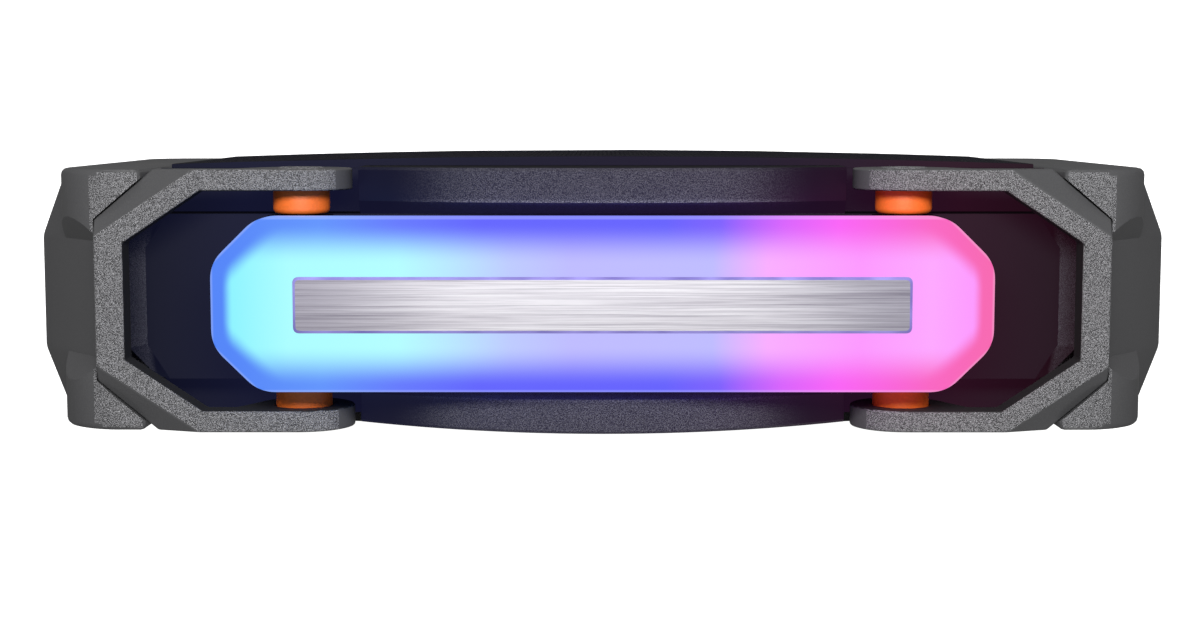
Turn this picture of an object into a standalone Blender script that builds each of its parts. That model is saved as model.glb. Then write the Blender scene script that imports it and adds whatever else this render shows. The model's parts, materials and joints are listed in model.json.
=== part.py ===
"""Party speaker with a light bar on top and two swing-up carry handles.

Metres, +Z up. The origin is on the floor under the middle of the speaker. The grille faces -Y,
"right" pieces are at +X and "left" pieces at -X.
"""
import math

import bmesh
import bpy
from mathutils import Matrix, Vector

# ---------------------------------------------------------------- driving sizes
GAP = 0.0003            # air between pieces that touch
WALL = 0.004            # moulded wall

DEPTH_HALF = 0.073      # front of the grille and back of the rear cover, at the middle
FOOT_Z = 0.008
BASE_Z = FOOT_Z + GAP
CABINET_TOP = 0.205
PLATEAU_Z = 0.233       # flat top of the black casing
LIGHT_TOP = 0.280       # top of the light diffuser

CABINET_X = 0.236
CABINET_FRONT = -0.050
CABINET_BACK = 0.060
BAFFLE_FRONT = -0.058

TURRET_X = 0.240        # plateau, half length
TURRET_Y = 0.0436       # plateau, half width
SLOPE_X = 0.2525        # foot of the sloped ends of the plateau
RIM_X = 0.1270          # half length of the two rim strips
RIM_TOP = 0.265
RIM_RISE = 0.026        # how far a rim strip arches up over its ends
RIM_Y = 0.0682

LIGHT_X = 0.1972
LIGHT_Y = 0.0443
LIGHT_T = 0.014
TRAY_X = 0.184
TRAY_Y = 0.030
PLATE_X = 0.1556
PLATE_Y = 0.0142
PLATE_T = 0.0018

PIVOT_X = 0.157
PIVOT_Z = 0.2365
LUG_R = 0.0265
ARM_IN = 0.0565         # inner face of a handle arm
ARM_OUT = 0.0676
ARM_BACK = 0.118        # behind the lugs, where the side view trims the arms
HANDLE_BOTTOM = PIVOT_Z + 0.0105
HANDLE_CHAMFER = 0.2545  # height where the outer corners start to slope in
HANDLE_TOP = PIVOT_Z + LUG_R
HANDLE_ROOM = 0.0008    # between a folded handle and its pocket in the guard
BUSH_R = 0.0147
BUSH_SINK = 0.004       # depth of the bush in the lug
BOLT_R = 0.004
BOLT_CAP_R = 0.012

GUARD_X = 0.304         # the pad between the corner posts stands out furthest
PAD_FLAT_Y = 0.0305     # half width of the pad's flat face
PAD_SHOULDER_Y = 0.0625
PAD_CORNER_Y = 0.0668
PAD_SLANT = 0.0120      # how much further in the shoulders are than the flat face
PAD_TOP = (0.2635, 0.248)
PAD_EDGE = (GUARD_X, 0.196)
PAD_BOTTOM = (0.264, 0.0083)
PAD_LOW_EDGE = (GUARD_X - 0.003, 0.062)
POST_X = 0.285
POST_Y = 0.0676
POST_TOP = 0.257
POST_ROUND = 0.035

WOOFER_X = 0.145
WOOFER_Z = 0.108
WOOFER_HOLE_R = 0.0735
RADIATOR_R = 0.062
TWEETER_X = 0.031
TWEETER_Z = 0.158
TWEETER_R = 0.0225

STRIP_X = 0.064
STRIP_Z = (0.022, 0.046)
STRIP_FACE = -0.0708
BUTTON_FACE = -0.0722
BUTTON_Z = 0.034
BUTTON_PITCH = 0.0170
BUTTON_R = 0.0055
PLAY_R = 0.0075

PANEL_X = 0.055
PANEL_Z = (0.050, 0.150)
PANEL_FACE = 0.0640
COVER_X = 0.042
COVER_Z = (0.058, 0.100)
COVER_Y = (0.0662, 0.0692)
HINGE_Y = 0.0677
HINGE_R = 0.0028
KNOB_X = 0.026
KNOB_Z = 0.128
KNOB_R = 0.011

SIDES = {"right": 1, "left": -1}
ENDS = {"front": -1, "rear": 1}
BUTTONS = ("power", "pairing", "bass", "play", "light", "volume_down", "volume_up")

TURN = 20               # steps round a turned piece


# ---------------------------------------------------------------- helpers
def clear_scene():
    for obj in list(bpy.data.objects):
        bpy.data.objects.remove(obj, do_unlink=True)


def new_collection(name):
    group = bpy.data.collections.new(name)
    bpy.context.scene.collection.children.link(group)
    return group


def material(name, colour, roughness, metallic=0.0):
    mat = bpy.data.materials.new(name)
    mat.use_nodes = True
    shader = mat.node_tree.nodes["Principled BSDF"]
    shader.inputs["Base Color"].default_value = (*colour, 1.0)
    shader.inputs["Roughness"].default_value = roughness
    shader.inputs["Metallic"].default_value = metallic
    return mat


def object_from_bmesh(name, bm):
    mesh = bpy.data.meshes.new(name)
    bm.to_mesh(mesh)
    bm.free()
    return bpy.data.objects.new(name, mesh)


def smooth(obj, angle=35):
    obj.data.shade_smooth()
    obj.data.set_sharp_from_angle(angle=math.radians(angle))


def part(obj, mat, origin=None):
    """Put a finished piece in the speaker, with its origin on its joint where it has one."""
    SPEAKER.objects.link(obj)
    obj.data.materials.clear()
    obj.data.materials.append(mat)
    if origin is not None:
        obj.data.transform(Matrix.Translation(-Vector(origin)))
        obj.location = origin
    return obj


def shaping(obj):
    """A cutter or a piece to be joined: kept as a wire guide only."""
    CUTTERS.objects.link(obj)
    obj.hide_render = True
    obj.display_type = "WIRE"
    return obj


def boolean(obj, other, operation="DIFFERENCE"):
    mod = obj.modifiers.new(operation.lower(), "BOOLEAN")
    mod.solver = "EXACT"
    mod.operation = operation
    mod.object = shaping(other)


def bevel(obj, width, segments=1, angle=40):
    mod = obj.modifiers.new("bevel", "BEVEL")
    mod.width = width
    mod.segments = segments
    mod.limit_method = "ANGLE"
    mod.angle_limit = math.radians(angle)


def block(name, low, high):
    bm = bmesh.new()
    bmesh.ops.create_cube(bm, size=1.0)
    size = Vector(high) - Vector(low)
    middle = (Vector(high) + Vector(low)) / 2
    bmesh.ops.scale(bm, vec=size, verts=bm.verts)
    bmesh.ops.translate(bm, vec=middle, verts=bm.verts)
    return object_from_bmesh(name, bm)


def rod(name, radius, low, high, segments=TURN):
    """Cylinder along Y, from the point low to the point high."""
    bm = bmesh.new()
    length = high[1] - low[1]
    bmesh.ops.create_cone(bm, cap_ends=True, segments=segments, radius1=radius, radius2=radius, depth=length)
    turn = Matrix.Rotation(math.radians(90), 4, "X")
    middle = (Vector(high) + Vector(low)) / 2
    bmesh.ops.transform(bm, matrix=Matrix.Translation(middle) @ turn, verts=bm.verts)
    return object_from_bmesh(name, bm)


def arc(centre, radius, start, end, steps):
    """Points on a circle, angles in degrees."""
    points = []
    for i in range(steps + 1):
        a = math.radians(start + (end - start) * i / steps)
        points.append((centre[0] + radius * math.cos(a), centre[1] + radius * math.sin(a)))
    return points


def outline(name, points, low, high, plane="XY"):
    """Flat outline, filled and extruded from low to high along the plane's normal."""
    curve = bpy.data.curves.new(name, "CURVE")
    curve.dimensions = "2D"
    curve.fill_mode = "BOTH"
    curve.extrude = (high - low) / 2
    spline = curve.splines.new("POLY")
    spline.points.add(len(points) - 1)
    for point, (u, v) in zip(spline.points, points):
        point.co = (u, v, 0.0, 1.0)
    spline.use_cyclic_u = True
    holder = bpy.data.objects.new(name, curve)
    bpy.context.scene.collection.objects.link(holder)
    bpy.context.view_layer.update()
    depsgraph = bpy.context.evaluated_depsgraph_get()
    mesh = bpy.data.meshes.new_from_object(holder.evaluated_get(depsgraph))
    bpy.data.objects.remove(holder, do_unlink=True)
    bpy.data.curves.remove(curve)
    bm = bmesh.new()
    bm.from_mesh(mesh)
    bpy.data.meshes.remove(mesh)
    bmesh.ops.remove_doubles(bm, verts=bm.verts, dist=0.00001)
    bmesh.ops.translate(bm, vec=(0, 0, (low + high) / 2), verts=bm.verts)
    if plane == "XZ":       # (u, v, w) becomes (x, -w, z), so low and high are taken along -Y
        bmesh.ops.rotate(bm, matrix=Matrix.Rotation(math.radians(90), 3, "X"), verts=bm.verts)
    bmesh.ops.recalc_face_normals(bm, faces=bm.faces)
    return object_from_bmesh(name, bm)


def loft(name, sections):
    """Solid through a list of rings with equal numbers of points, capped at both ends."""
    bm = bmesh.new()
    rings = [[bm.verts.new(point) for point in ring] for ring in sections]
    for here, there in zip(rings, rings[1:]):
        for i in range(len(here)):
            j = (i + 1) % len(here)
            bm.faces.new((here[i], here[j], there[j], there[i]))
    bm.faces.new(rings[0])
    bm.faces.new(rings[-1])
    bmesh.ops.recalc_face_normals(bm, faces=bm.faces)
    return object_from_bmesh(name, bm)


def turned(name, profile, place, facing, closed=False, steps=TURN):
    """Turned piece about Y. The profile is (radius, height) from the front down its outer side;
    height is measured towards facing, -1 for the front and +1 for the rear."""
    bm = bmesh.new()
    verts = [bm.verts.new((radius, 0.0, height)) for radius, height in profile]
    for a, b in zip(verts, verts[1:]):
        bm.edges.new((a, b))
    if closed:
        bm.edges.new((verts[-1], verts[0]))
    obj = object_from_bmesh(name, bm)
    screw = obj.modifiers.new("screw", "SCREW")
    screw.steps = steps
    screw.render_steps = steps
    screw.use_merge_vertices = True
    screw.merge_threshold = 0.00005
    obj.location = place
    obj.rotation_euler = (math.radians(-90 * facing), 0, 0)
    smooth(obj)
    return obj


def add_turned(obj, mat):
    SPEAKER.objects.link(obj)
    obj.data.materials.append(mat)
    return obj


def mirrored(points):
    """Outline for one half at +Y, continued with its mirror image at -Y."""
    return points + [(x, -y) for x, y in reversed(points)]


def sagitta(x, half, rise):
    """Height of a shallow arch over x: rise at the middle, 0 at +-half."""
    return rise * (1 - (x / half) ** 2)


def bulged_outline(half, flat_y, edge_y, middle_y, steps=12):
    """Plan of a plate with a flat inner side and an arched outer side."""
    points = [(half, flat_y), (-half, flat_y)]
    for i in range(steps + 1):
        x = -half + 2 * half * i / steps
        points.append((x, edge_y + sagitta(x, half, middle_y - edge_y)))
    return points


# ---------------------------------------------------------------- cabinet
def make_cabinet_shell():
    low = (-CABINET_X, CABINET_FRONT, BASE_Z)
    shell = block("cabinet_shell", low, (CABINET_X, CABINET_BACK, CABINET_TOP))
    inside = block(
        "cabinet_inside",
        (WALL - CABINET_X, CABINET_FRONT - WALL, BASE_Z + WALL),
        (CABINET_X - WALL, CABINET_BACK + WALL, CABINET_TOP - WALL),
    )
    boolean(shell, inside)
    part(shell, BLACK)


def make_front_baffle():
    baffle = block(
        "front_baffle",
        (-CABINET_X, BAFFLE_FRONT, BASE_Z),
        (CABINET_X, CABINET_FRONT - GAP, CABINET_TOP),
    )
    for side in SIDES.values():
        hole = rod(
            "woofer_hole",
            WOOFER_HOLE_R,
            (side * WOOFER_X, BAFFLE_FRONT - WALL, WOOFER_Z),
            (side * WOOFER_X, CABINET_FRONT + WALL, WOOFER_Z),
        )
        boolean(baffle, hole)
        seat = rod(
            "tweeter_hole",
            TWEETER_R - 0.004 + GAP,
            (side * TWEETER_X, BAFFLE_FRONT - WALL, TWEETER_Z),
            (side * TWEETER_X, CABINET_FRONT + WALL, TWEETER_Z),
        )
        boolean(baffle, seat)
    part(baffle, BLACK)


def make_front_grille():
    """Bulging steel pan: an arched face and a flange back to the baffle."""
    low, high = BASE_Z + 0.0035, CABINET_TOP - 0.0035
    half = 0.232
    steel = 0.0014
    back = BAFFLE_FRONT - GAP
    pan = outline("front_grille", bulged_outline(half, back, -0.0688, -DEPTH_HALF), low, high)
    hollow = outline(
        "grille_hollow",
        bulged_outline(half - steel, back + WALL, -0.0688 + steel, -DEPTH_HALF + steel),
        low + steel,
        high - steel,
    )
    boolean(pan, hollow)
    window = block(
        "strip_window",
        (-STRIP_X - GAP, -DEPTH_HALF - WALL, STRIP_Z[0] - GAP),
        (STRIP_X + GAP, BAFFLE_FRONT - steel, STRIP_Z[1] + GAP),
    )
    boolean(pan, window)
    part(pan, STEEL_BLACK)


def make_rear_cover():
    cover = outline(
        "rear_cover",
        bulged_outline(CABINET_X, CABINET_BACK + GAP, 0.0655, DEPTH_HALF),
        BASE_Z,
        CABINET_TOP,
    )
    for side in SIDES.values():
        hole = rod(
            "radiator_hole",
            RADIATOR_R,
            (side * WOOFER_X, CABINET_BACK - WALL, WOOFER_Z),
            (side * WOOFER_X, DEPTH_HALF + WALL, WOOFER_Z),
        )
        boolean(cover, hole)
    window = block(
        "panel_window",
        (-PANEL_X, CABINET_BACK - WALL, PANEL_Z[0]),
        (PANEL_X, DEPTH_HALF + WALL, PANEL_Z[1]),
    )
    boolean(cover, window)
    part(cover, BLACK)


def make_feet():
    for side_name, side in SIDES.items():
        for end_name, end in ENDS.items():
            bm = bmesh.new()
            bmesh.ops.create_cone(bm, cap_ends=True, segments=16, radius1=0.011, radius2=0.013, depth=FOOT_Z)
            place = (side * 0.200, end * 0.040, FOOT_Z / 2)
            bmesh.ops.translate(bm, vec=place, verts=bm.verts)
            foot = object_from_bmesh("foot_%s_%s" % (end_name, side_name), bm)
            smooth(foot)
            part(foot, RUBBER)


# ---------------------------------------------------------------- top casing
def rim_section(x, end):
    """Cross-section of a rim strip: ridge outside, crease inside, and a chamfer to the plateau."""
    top = RIM_TOP - RIM_RISE + sagitta(x, RIM_X, RIM_RISE)
    outer = RIM_Y
    if end > 0:
        outer = 0.0657 + sagitta(x, RIM_X, RIM_Y - 0.0657)
    foot = CABINET_TOP + GAP + 0.001
    section = [
        (outer, foot),
        (outer, top - 0.0015),
        (outer - 0.0015, top),
        (0.0505, top - 0.002),
        (TURRET_Y - 0.0002, PLATEAU_Z - 0.001),
        (TURRET_Y - 0.0050, foot),
    ]
    return [(x, end * y, z) for y, z in section]


def make_top_casing():
    foot = CABINET_TOP + GAP
    ledge = block("top_casing", (-CABINET_X, -0.0668, foot), (CABINET_X, 0.0650, foot + 0.004))
    plateau = [(TURRET_X, 0.0254), (TURRET_X - 0.0115, TURRET_Y)]
    skirt = [(SLOPE_X, 0.0285), (TURRET_X - 0.0020, TURRET_Y)]
    rings = []
    for half_plan, z in ((skirt, foot), (skirt, PLATEAU_Z - 0.012), (plateau, PLATEAU_Z)):
        quarter = [half_plan[0], half_plan[1]]
        right = quarter + [(-x, y) for x, y in reversed(quarter)]
        ring = right + [(x, -y) for x, y in reversed(right)]
        rings.append([(x, y, z) for x, y in ring])
    turret = loft("turret", rings)
    boolean(ledge, turret, "UNION")
    for end in ENDS.values():
        stations = [-RIM_X + 2 * RIM_X * i / 10 for i in range(11)]
        rim = loft("rim", [rim_section(x, end) for x in stations])
        boolean(ledge, rim, "UNION")
        for side in SIDES.values():
            inner, outer = sorted((end * 0.0310, end * (TURRET_Y - GAP)))
            boss = block(
                "pivot_boss",
                (side * PIVOT_X - 0.016, inner, PLATEAU_Z - 0.006),
                (side * PIVOT_X + 0.016, outer, PIVOT_Z + 0.016),
            )
            boolean(ledge, boss, "UNION")
            bore = rod(
                "bolt_bore",
                BOLT_R + GAP,
                (side * PIVOT_X, inner + 0.004 if end > 0 else -0.1, PIVOT_Z),
                (side * PIVOT_X, 0.1 if end > 0 else outer - 0.004, PIVOT_Z),
                segments=12,
            )
            boolean(ledge, bore)
    hollow = block(
        "casing_hollow",
        (-TURRET_X + 0.012, -TURRET_Y + 0.008, foot - WALL),
        (TURRET_X - 0.012, TURRET_Y - 0.008, PLATEAU_Z - WALL),
    )
    boolean(ledge, hollow)
    part(ledge, BLACK)


# ---------------------------------------------------------------- end guards
def post_profile():
    """Front view of a corner post at +X: round top and bottom corners."""
    inner = CABINET_X + GAP
    low_round = 0.028
    top = arc((POST_X - POST_ROUND, POST_TOP - POST_ROUND), POST_ROUND, 0, 90, 8)
    bottom = arc((POST_X - low_round, BASE_Z + low_round), low_round, -90, 0, 6)
    return bottom + top + [(inner, POST_TOP), (inner, BASE_Z)]


def pad_ring(reach, z):
    """Plan of the middle pad at one height."""
    shoulder = reach - PAD_SLANT
    corner = min(shoulder - 0.0020, POST_X - 0.0005)
    inner = CABINET_X + GAP
    half = [(inner, PAD_CORNER_Y), (corner, PAD_CORNER_Y), (shoulder, PAD_SHOULDER_Y), (reach, PAD_FLAT_Y)]
    return [(x, y, z) for x, y in mirrored(half)]


def handle_outer(grow=0.0):
    """Half plan of a handle's outer side at its underside, with room to spare round it."""
    return [(0.100, ARM_OUT + grow), (0.2304, ARM_OUT + grow), (0.2612 + grow, 0.0416 + grow * 0.4)]


def pad_channel(edge, foot):
    """Room above a sloping face of the pad, from one edge (x, z) to the other. Its sides lean outwards."""
    floor_y, mouth_y = PAD_FLAT_Y - 0.0015, 0.0800
    sink, height = -0.001, 0.034
    before, past = 0.014, 0.020
    start, stop = (Vector((x, 0, z)) for x, z in (edge, foot))
    run = (stop - start).normalized()
    lift = Vector((abs(run.z), 0, math.copysign(run.x, -run.z)))
    rings = []
    for place in (start - before * run, stop + past * run):
        ring = []
        for y, rise in ((-floor_y, sink), (floor_y, sink), (mouth_y, height), (-mouth_y, height)):
            spot = place + rise * lift
            ring.append((spot.x, y, spot.z))
        rings.append(ring)
    return loft("pad_channel", rings)


def make_end_guard(side_name, side):
    guard = outline("end_guard_" + side_name, post_profile(), -POST_Y, POST_Y, plane="XZ")
    boolean(guard, pad_channel(PAD_TOP, PAD_EDGE))
    boolean(guard, pad_channel(PAD_BOTTOM, PAD_LOW_EDGE))
    knees = (PAD_BOTTOM, PAD_LOW_EDGE, (GUARD_X, 0.110), PAD_EDGE, PAD_TOP)
    pad = loft("guard_pad", [pad_ring(reach, z) for reach, z in knees])
    boolean(guard, pad, "UNION")
    pocket = outline("handle_pocket", mirrored(handle_outer(HANDLE_ROOM)), HANDLE_BOTTOM - 0.001, 0.3)
    boolean(guard, pocket)
    seat_y = TURRET_Y + 0.001
    seat = block("casing_seat", (0.2, -seat_y, CABINET_TOP), (SLOPE_X + 0.001, seat_y, 0.3))
    boolean(guard, seat)
    if side < 0:
        guard.data.transform(Matrix.Rotation(math.pi, 4, "Z"))
        for mod in guard.modifiers:
            mod.object.data.transform(Matrix.Rotation(math.pi, 4, "Z"))
    part(guard, GREY)


# ---------------------------------------------------------------- carry handles
def make_handle(side_name, side):
    """C-shaped bail: a chamfered band in plan, trimmed by its side view to a round lug at each tip."""
    inner = [(ARM_BACK, ARM_IN), (0.2055, ARM_IN), (0.245, 0.030)]
    top_outer = [(ARM_BACK, ARM_OUT), (0.2076, ARM_OUT), (0.2598, 0.0332)]
    low_outer = [(ARM_BACK, ARM_OUT)] + handle_outer()[1:]
    rings = []
    levels = ((low_outer, PIVOT_Z - LUG_R - 0.004), (low_outer, HANDLE_CHAMFER), (top_outer, HANDLE_TOP))
    for outer, z in levels:
        half = [(x, y, z) for x, y in outer]
        other = [(x, -y, z) for x, y in reversed(outer)]
        back = [(x, -y, z) for x, y in inner]
        forth = [(x, y, z) for x, y in reversed(inner)]
        rings.append(half + other + back + forth)
    handle = loft("handle_" + side_name, rings)
    side_view = arc((PIVOT_X, PIVOT_Z), LUG_R, 90, 270, 14)
    side_view += arc((PIVOT_X, PIVOT_Z), LUG_R, 280, 345, 5)
    side_view += [(PIVOT_X + 0.034, HANDLE_BOTTOM), (0.29, HANDLE_BOTTOM), (0.29, HANDLE_TOP)]
    keep = outline("handle_side_view", side_view, -0.09, 0.09, plane="XZ")
    boolean(handle, keep, "INTERSECT")
    for end in ENDS.values():
        far = end * 0.09
        low, high = sorted((end * (ARM_IN - 0.01), far))
        bore = rod("lug_bore", BOLT_R + GAP, (PIVOT_X, low, PIVOT_Z), (PIVOT_X, high, PIVOT_Z), segments=12)
        boolean(handle, bore)
        low, high = sorted((end * (ARM_IN - 0.01), end * (ARM_IN + BUSH_SINK)))
        seat = rod("bush_seat", BUSH_R + GAP, (PIVOT_X, low, PIVOT_Z), (PIVOT_X, high, PIVOT_Z))
        boolean(handle, seat)
        low, high = sorted((end * (ARM_OUT - 0.0035), far))
        cap_seat = rod("cap_seat", BOLT_CAP_R + GAP, (PIVOT_X, low, PIVOT_Z), (PIVOT_X, high, PIVOT_Z))
        boolean(handle, cap_seat)
    if side < 0:
        handle.data.transform(Matrix.Rotation(math.pi, 4, "Z"))
        for mod in handle.modifiers:
            mod.object.data.transform(Matrix.Rotation(math.pi, 4, "Z"))
    part(handle, GREY, origin=(side * PIVOT_X, 0, PIVOT_Z))


def make_pivots(side_name, side):
    for end_name, end in ENDS.items():
        place = (side * PIVOT_X, 0, PIVOT_Z)
        near = TURRET_Y
        far = ARM_IN + BUSH_SINK - GAP
        hole = BOLT_R + GAP
        sleeve = [
            (hole, far),
            (BUSH_R - 0.002, far),
            (BUSH_R, far - 0.002),
            (BUSH_R, near + 0.003),
            (BUSH_R - 0.0022, near + GAP),
            (hole, near + GAP),
        ]
        bush = turned("pivot_bush_%s_%s" % (end_name, side_name), sleeve, place, end, closed=True)
        add_turned(bush, ORANGE)
        head = ARM_OUT + 0.0006
        stem = [
            (0.0, head),
            (BOLT_CAP_R - 0.0008, head),
            (BOLT_CAP_R, head - 0.0008),
            (BOLT_CAP_R, ARM_OUT - 0.0035 + GAP),
            (BOLT_R, ARM_OUT - 0.0035 + GAP),
            (BOLT_R, TURRET_Y - 0.0080),
            (0.0, TURRET_Y - 0.0080),
        ]
        bolt = turned("pivot_bolt_%s_%s" % (end_name, side_name), stem, place, end, steps=16)
        add_turned(bolt, GREY)


# ---------------------------------------------------------------- light module
def rounded(points, radius, steps=3):
    """Outline with each corner replaced by an arc-like curve through its tangent points."""
    result = []
    for i, corner in enumerate(points):
        corner = Vector(corner)
        before = Vector(points[i - 1]) - corner
        after = Vector(points[(i + 1) % len(points)]) - corner
        reach = radius / math.tan(before.angle(after) / 2)
        start = corner + before.normalized() * reach
        end = corner + after.normalized() * reach
        for k in range(steps + 1):
            t = k / steps
            spot = start.lerp(corner, t).lerp(corner.lerp(end, t), t)
            result.append((spot.x, spot.y))
    return result


def light_plan(inset=0.0):
    """Plan of the diffuser: a long octagon."""
    x = LIGHT_X - inset
    y = LIGHT_Y - inset
    quarter = [(x, 0.0209 - inset * 0.4), (0.1735 - inset * 0.5, y)]
    right = quarter + [(-u, v) for u, v in reversed(quarter)]
    return right + [(u, -v) for u, v in reversed(right)]


def make_light_module():
    low = LIGHT_TOP - LIGHT_T
    diffuser = outline("light_diffuser", rounded(light_plan(), 0.010), low, LIGHT_TOP)
    bevel(diffuser, 0.0012, segments=2)
    smooth(diffuser)
    part(diffuser, DIFFUSER)

    tray = block("light_tray", (-TRAY_X, -TRAY_Y, PLATEAU_Z + GAP), (TRAY_X, TRAY_Y, low - GAP))
    pocket = block(
        "board_pocket",
        (-TRAY_X + 0.003, -TRAY_Y + 0.003, low - 0.005),
        (TRAY_X - 0.003, TRAY_Y - 0.003, low + WALL),
    )
    boolean(tray, pocket)
    part(tray, BLACK)

    board = block(
        "light_board",
        (-TRAY_X + 0.0045, -TRAY_Y + 0.0045, low - 0.005 + GAP),
        (TRAY_X - 0.0045, TRAY_Y - 0.0045, low - 0.005 + GAP + 0.0016),
    )
    part(board, BOARD)

    corners = [(PLATE_X, PLATE_Y), (-PLATE_X, PLATE_Y), (-PLATE_X, -PLATE_Y), (PLATE_X, -PLATE_Y)]
    plate = outline("brushed_plate", rounded(corners, 0.003), LIGHT_TOP + GAP, LIGHT_TOP + GAP + PLATE_T)
    bevel(plate, 0.0005)
    smooth(plate)
    part(plate, ALUMINIUM)


# ---------------------------------------------------------------- drivers
def make_woofer(side_name, side):
    """Woofer behind the grille; heights are measured forward from the baffle's front face."""
    place = (side * WOOFER_X, BAFFLE_FRONT, WOOFER_Z)
    basket = [
        (0.0668, 0.0040),
        (0.0820, 0.0040),
        (0.0820, GAP),
        (0.0728, GAP),
        (0.0728, -0.0080),
        (0.0420, -0.0500),
        (0.0420, -0.0530),
        (0.0208, -0.0530),
        (0.0208, -0.0505),
        (0.0395, -0.0505),
        (0.0668, -0.0120),
    ]
    add_turned(turned("woofer_basket_" + side_name, basket, place, -1, closed=True), DARK_METAL)
    magnet = [
        (0.0, -0.0400),
        (0.0180, -0.0400),
        (0.0180, -0.0533),
        (0.0400, -0.0533),
        (0.0400, -0.0730),
        (0.0, -0.0730),
    ]
    add_turned(turned("woofer_magnet_" + side_name, magnet, place, -1), DARK_METAL)
    roll = [(0.0610 + 0.0052 * math.cos(a), 0.0005 + 0.0052 * math.sin(a)) for a in half_turn(5)]
    inside = [(0.0610 + 0.0040 * math.cos(a), 0.0005 + 0.0040 * math.sin(a)) for a in half_turn(5)]
    surround = list(reversed(roll)) + inside
    add_turned(turned("woofer_surround_" + side_name, surround, place, -1, closed=True), RUBBER)
    cap = [(0.0200 * math.sin(a), -0.0230 + 0.0060 * math.cos(a)) for a in quarter_turn(3)]
    under = [(0.0186 * math.sin(a), -0.0242 + 0.0056 * math.cos(a)) for a in quarter_turn(3)]
    cone = cap + [
        (0.0552, 0.0012),
        (0.0552, -0.0002),
        (0.0200, -0.0250),
        (0.0200, -0.0450),
        (0.0186, -0.0450),
    ] + list(reversed(under))
    add_turned(turned("woofer_cone_" + side_name, cone, place, -1), PAPER)


def half_turn(steps):
    return [math.pi * i / steps for i in range(steps + 1)]


def quarter_turn(steps):
    return [math.pi / 2 * i / steps for i in range(steps + 1)]


def make_tweeter(side_name, side):
    place = (side * TWEETER_X, BAFFLE_FRONT, TWEETER_Z)
    dome = [(0.0110 * math.sin(a), 0.0012 + 0.0045 * math.cos(a)) for a in quarter_turn(3)]
    body = dome + [
        (0.0150, 0.0012),
        (0.0180, 0.0036),
        (TWEETER_R, 0.0036),
        (TWEETER_R, GAP),
        (TWEETER_R - 0.0040, GAP),
        (TWEETER_R - 0.0040, -0.0190),
        (0.0, -0.0190),
    ]
    add_turned(turned("tweeter_" + side_name, body, place, -1, steps=16), DARK_METAL)


def make_radiator(side_name, side):
    """Passive radiator in the rear cover; heights are measured back from the cabinet's rear edge."""
    place = (side * WOOFER_X, CABINET_BACK, WOOFER_Z)
    middle, rise = 0.0535, 0.0020
    roll = [(middle + 0.0081 * math.cos(a), rise + 0.0060 * math.sin(a)) for a in half_turn(5)]
    inside = [(middle + 0.0066 * math.cos(a), rise + 0.0046 * math.sin(a)) for a in half_turn(5)]
    surround = list(reversed(roll)) + inside
    add_turned(turned("radiator_surround_" + side_name, surround, place, 1, closed=True), RUBBER)
    plate = [
        (0.0, 0.0010),
        (0.0300, 0.0010),
        (0.0360, 0.0036),
        (0.0448, 0.0036),
        (0.0448, 0.0012),
        (0.0360, 0.0012),
        (0.0300, -0.0014),
        (0.0, -0.0014),
    ]
    add_turned(turned("radiator_plate_" + side_name, plate, place, 1), DARK_METAL)


# ---------------------------------------------------------------- controls
def button_x(index):
    return (index - (len(BUTTONS) - 1) / 2) * BUTTON_PITCH


def button_radius(name):
    return PLAY_R if name == "play" else BUTTON_R


def make_control_strip():
    low = (-STRIP_X, STRIP_FACE, STRIP_Z[0])
    high = (STRIP_X, BAFFLE_FRONT - GAP, STRIP_Z[1])
    strip = block("control_strip", low, high)
    for index, name in enumerate(BUTTONS):
        x = button_x(index)
        well = rod(
            name + "_well",
            button_radius(name) + GAP,
            (x, STRIP_FACE - WALL, BUTTON_Z),
            (x, BAFFLE_FRONT - GAP - 0.0020, BUTTON_Z),
            segments=12,
        )
        boolean(strip, well)
    part(strip, BLACK)


def make_buttons():
    for index, name in enumerate(BUTTONS):
        radius = button_radius(name)
        place = (button_x(index), BAFFLE_FRONT, BUTTON_Z)
        face = BAFFLE_FRONT - BUTTON_FACE
        profile = [
            (0.0, face),
            (radius - 0.0008, face),
            (radius, face - 0.0008),
            (radius, 0.0050),
            (0.0, 0.0050),
        ]
        add_turned(turned("button_" + name, profile, place, -1, steps=12), RUBBER)


# ---------------------------------------------------------------- rear panel
MAINS = ((0.012, 0.034), (0.072, 0.086))
USB = ((-0.010, 0.004), (0.0755, 0.0825))
LINE_IN = (-0.024, 0.079)
LINE_IN_R = 0.0040


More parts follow.
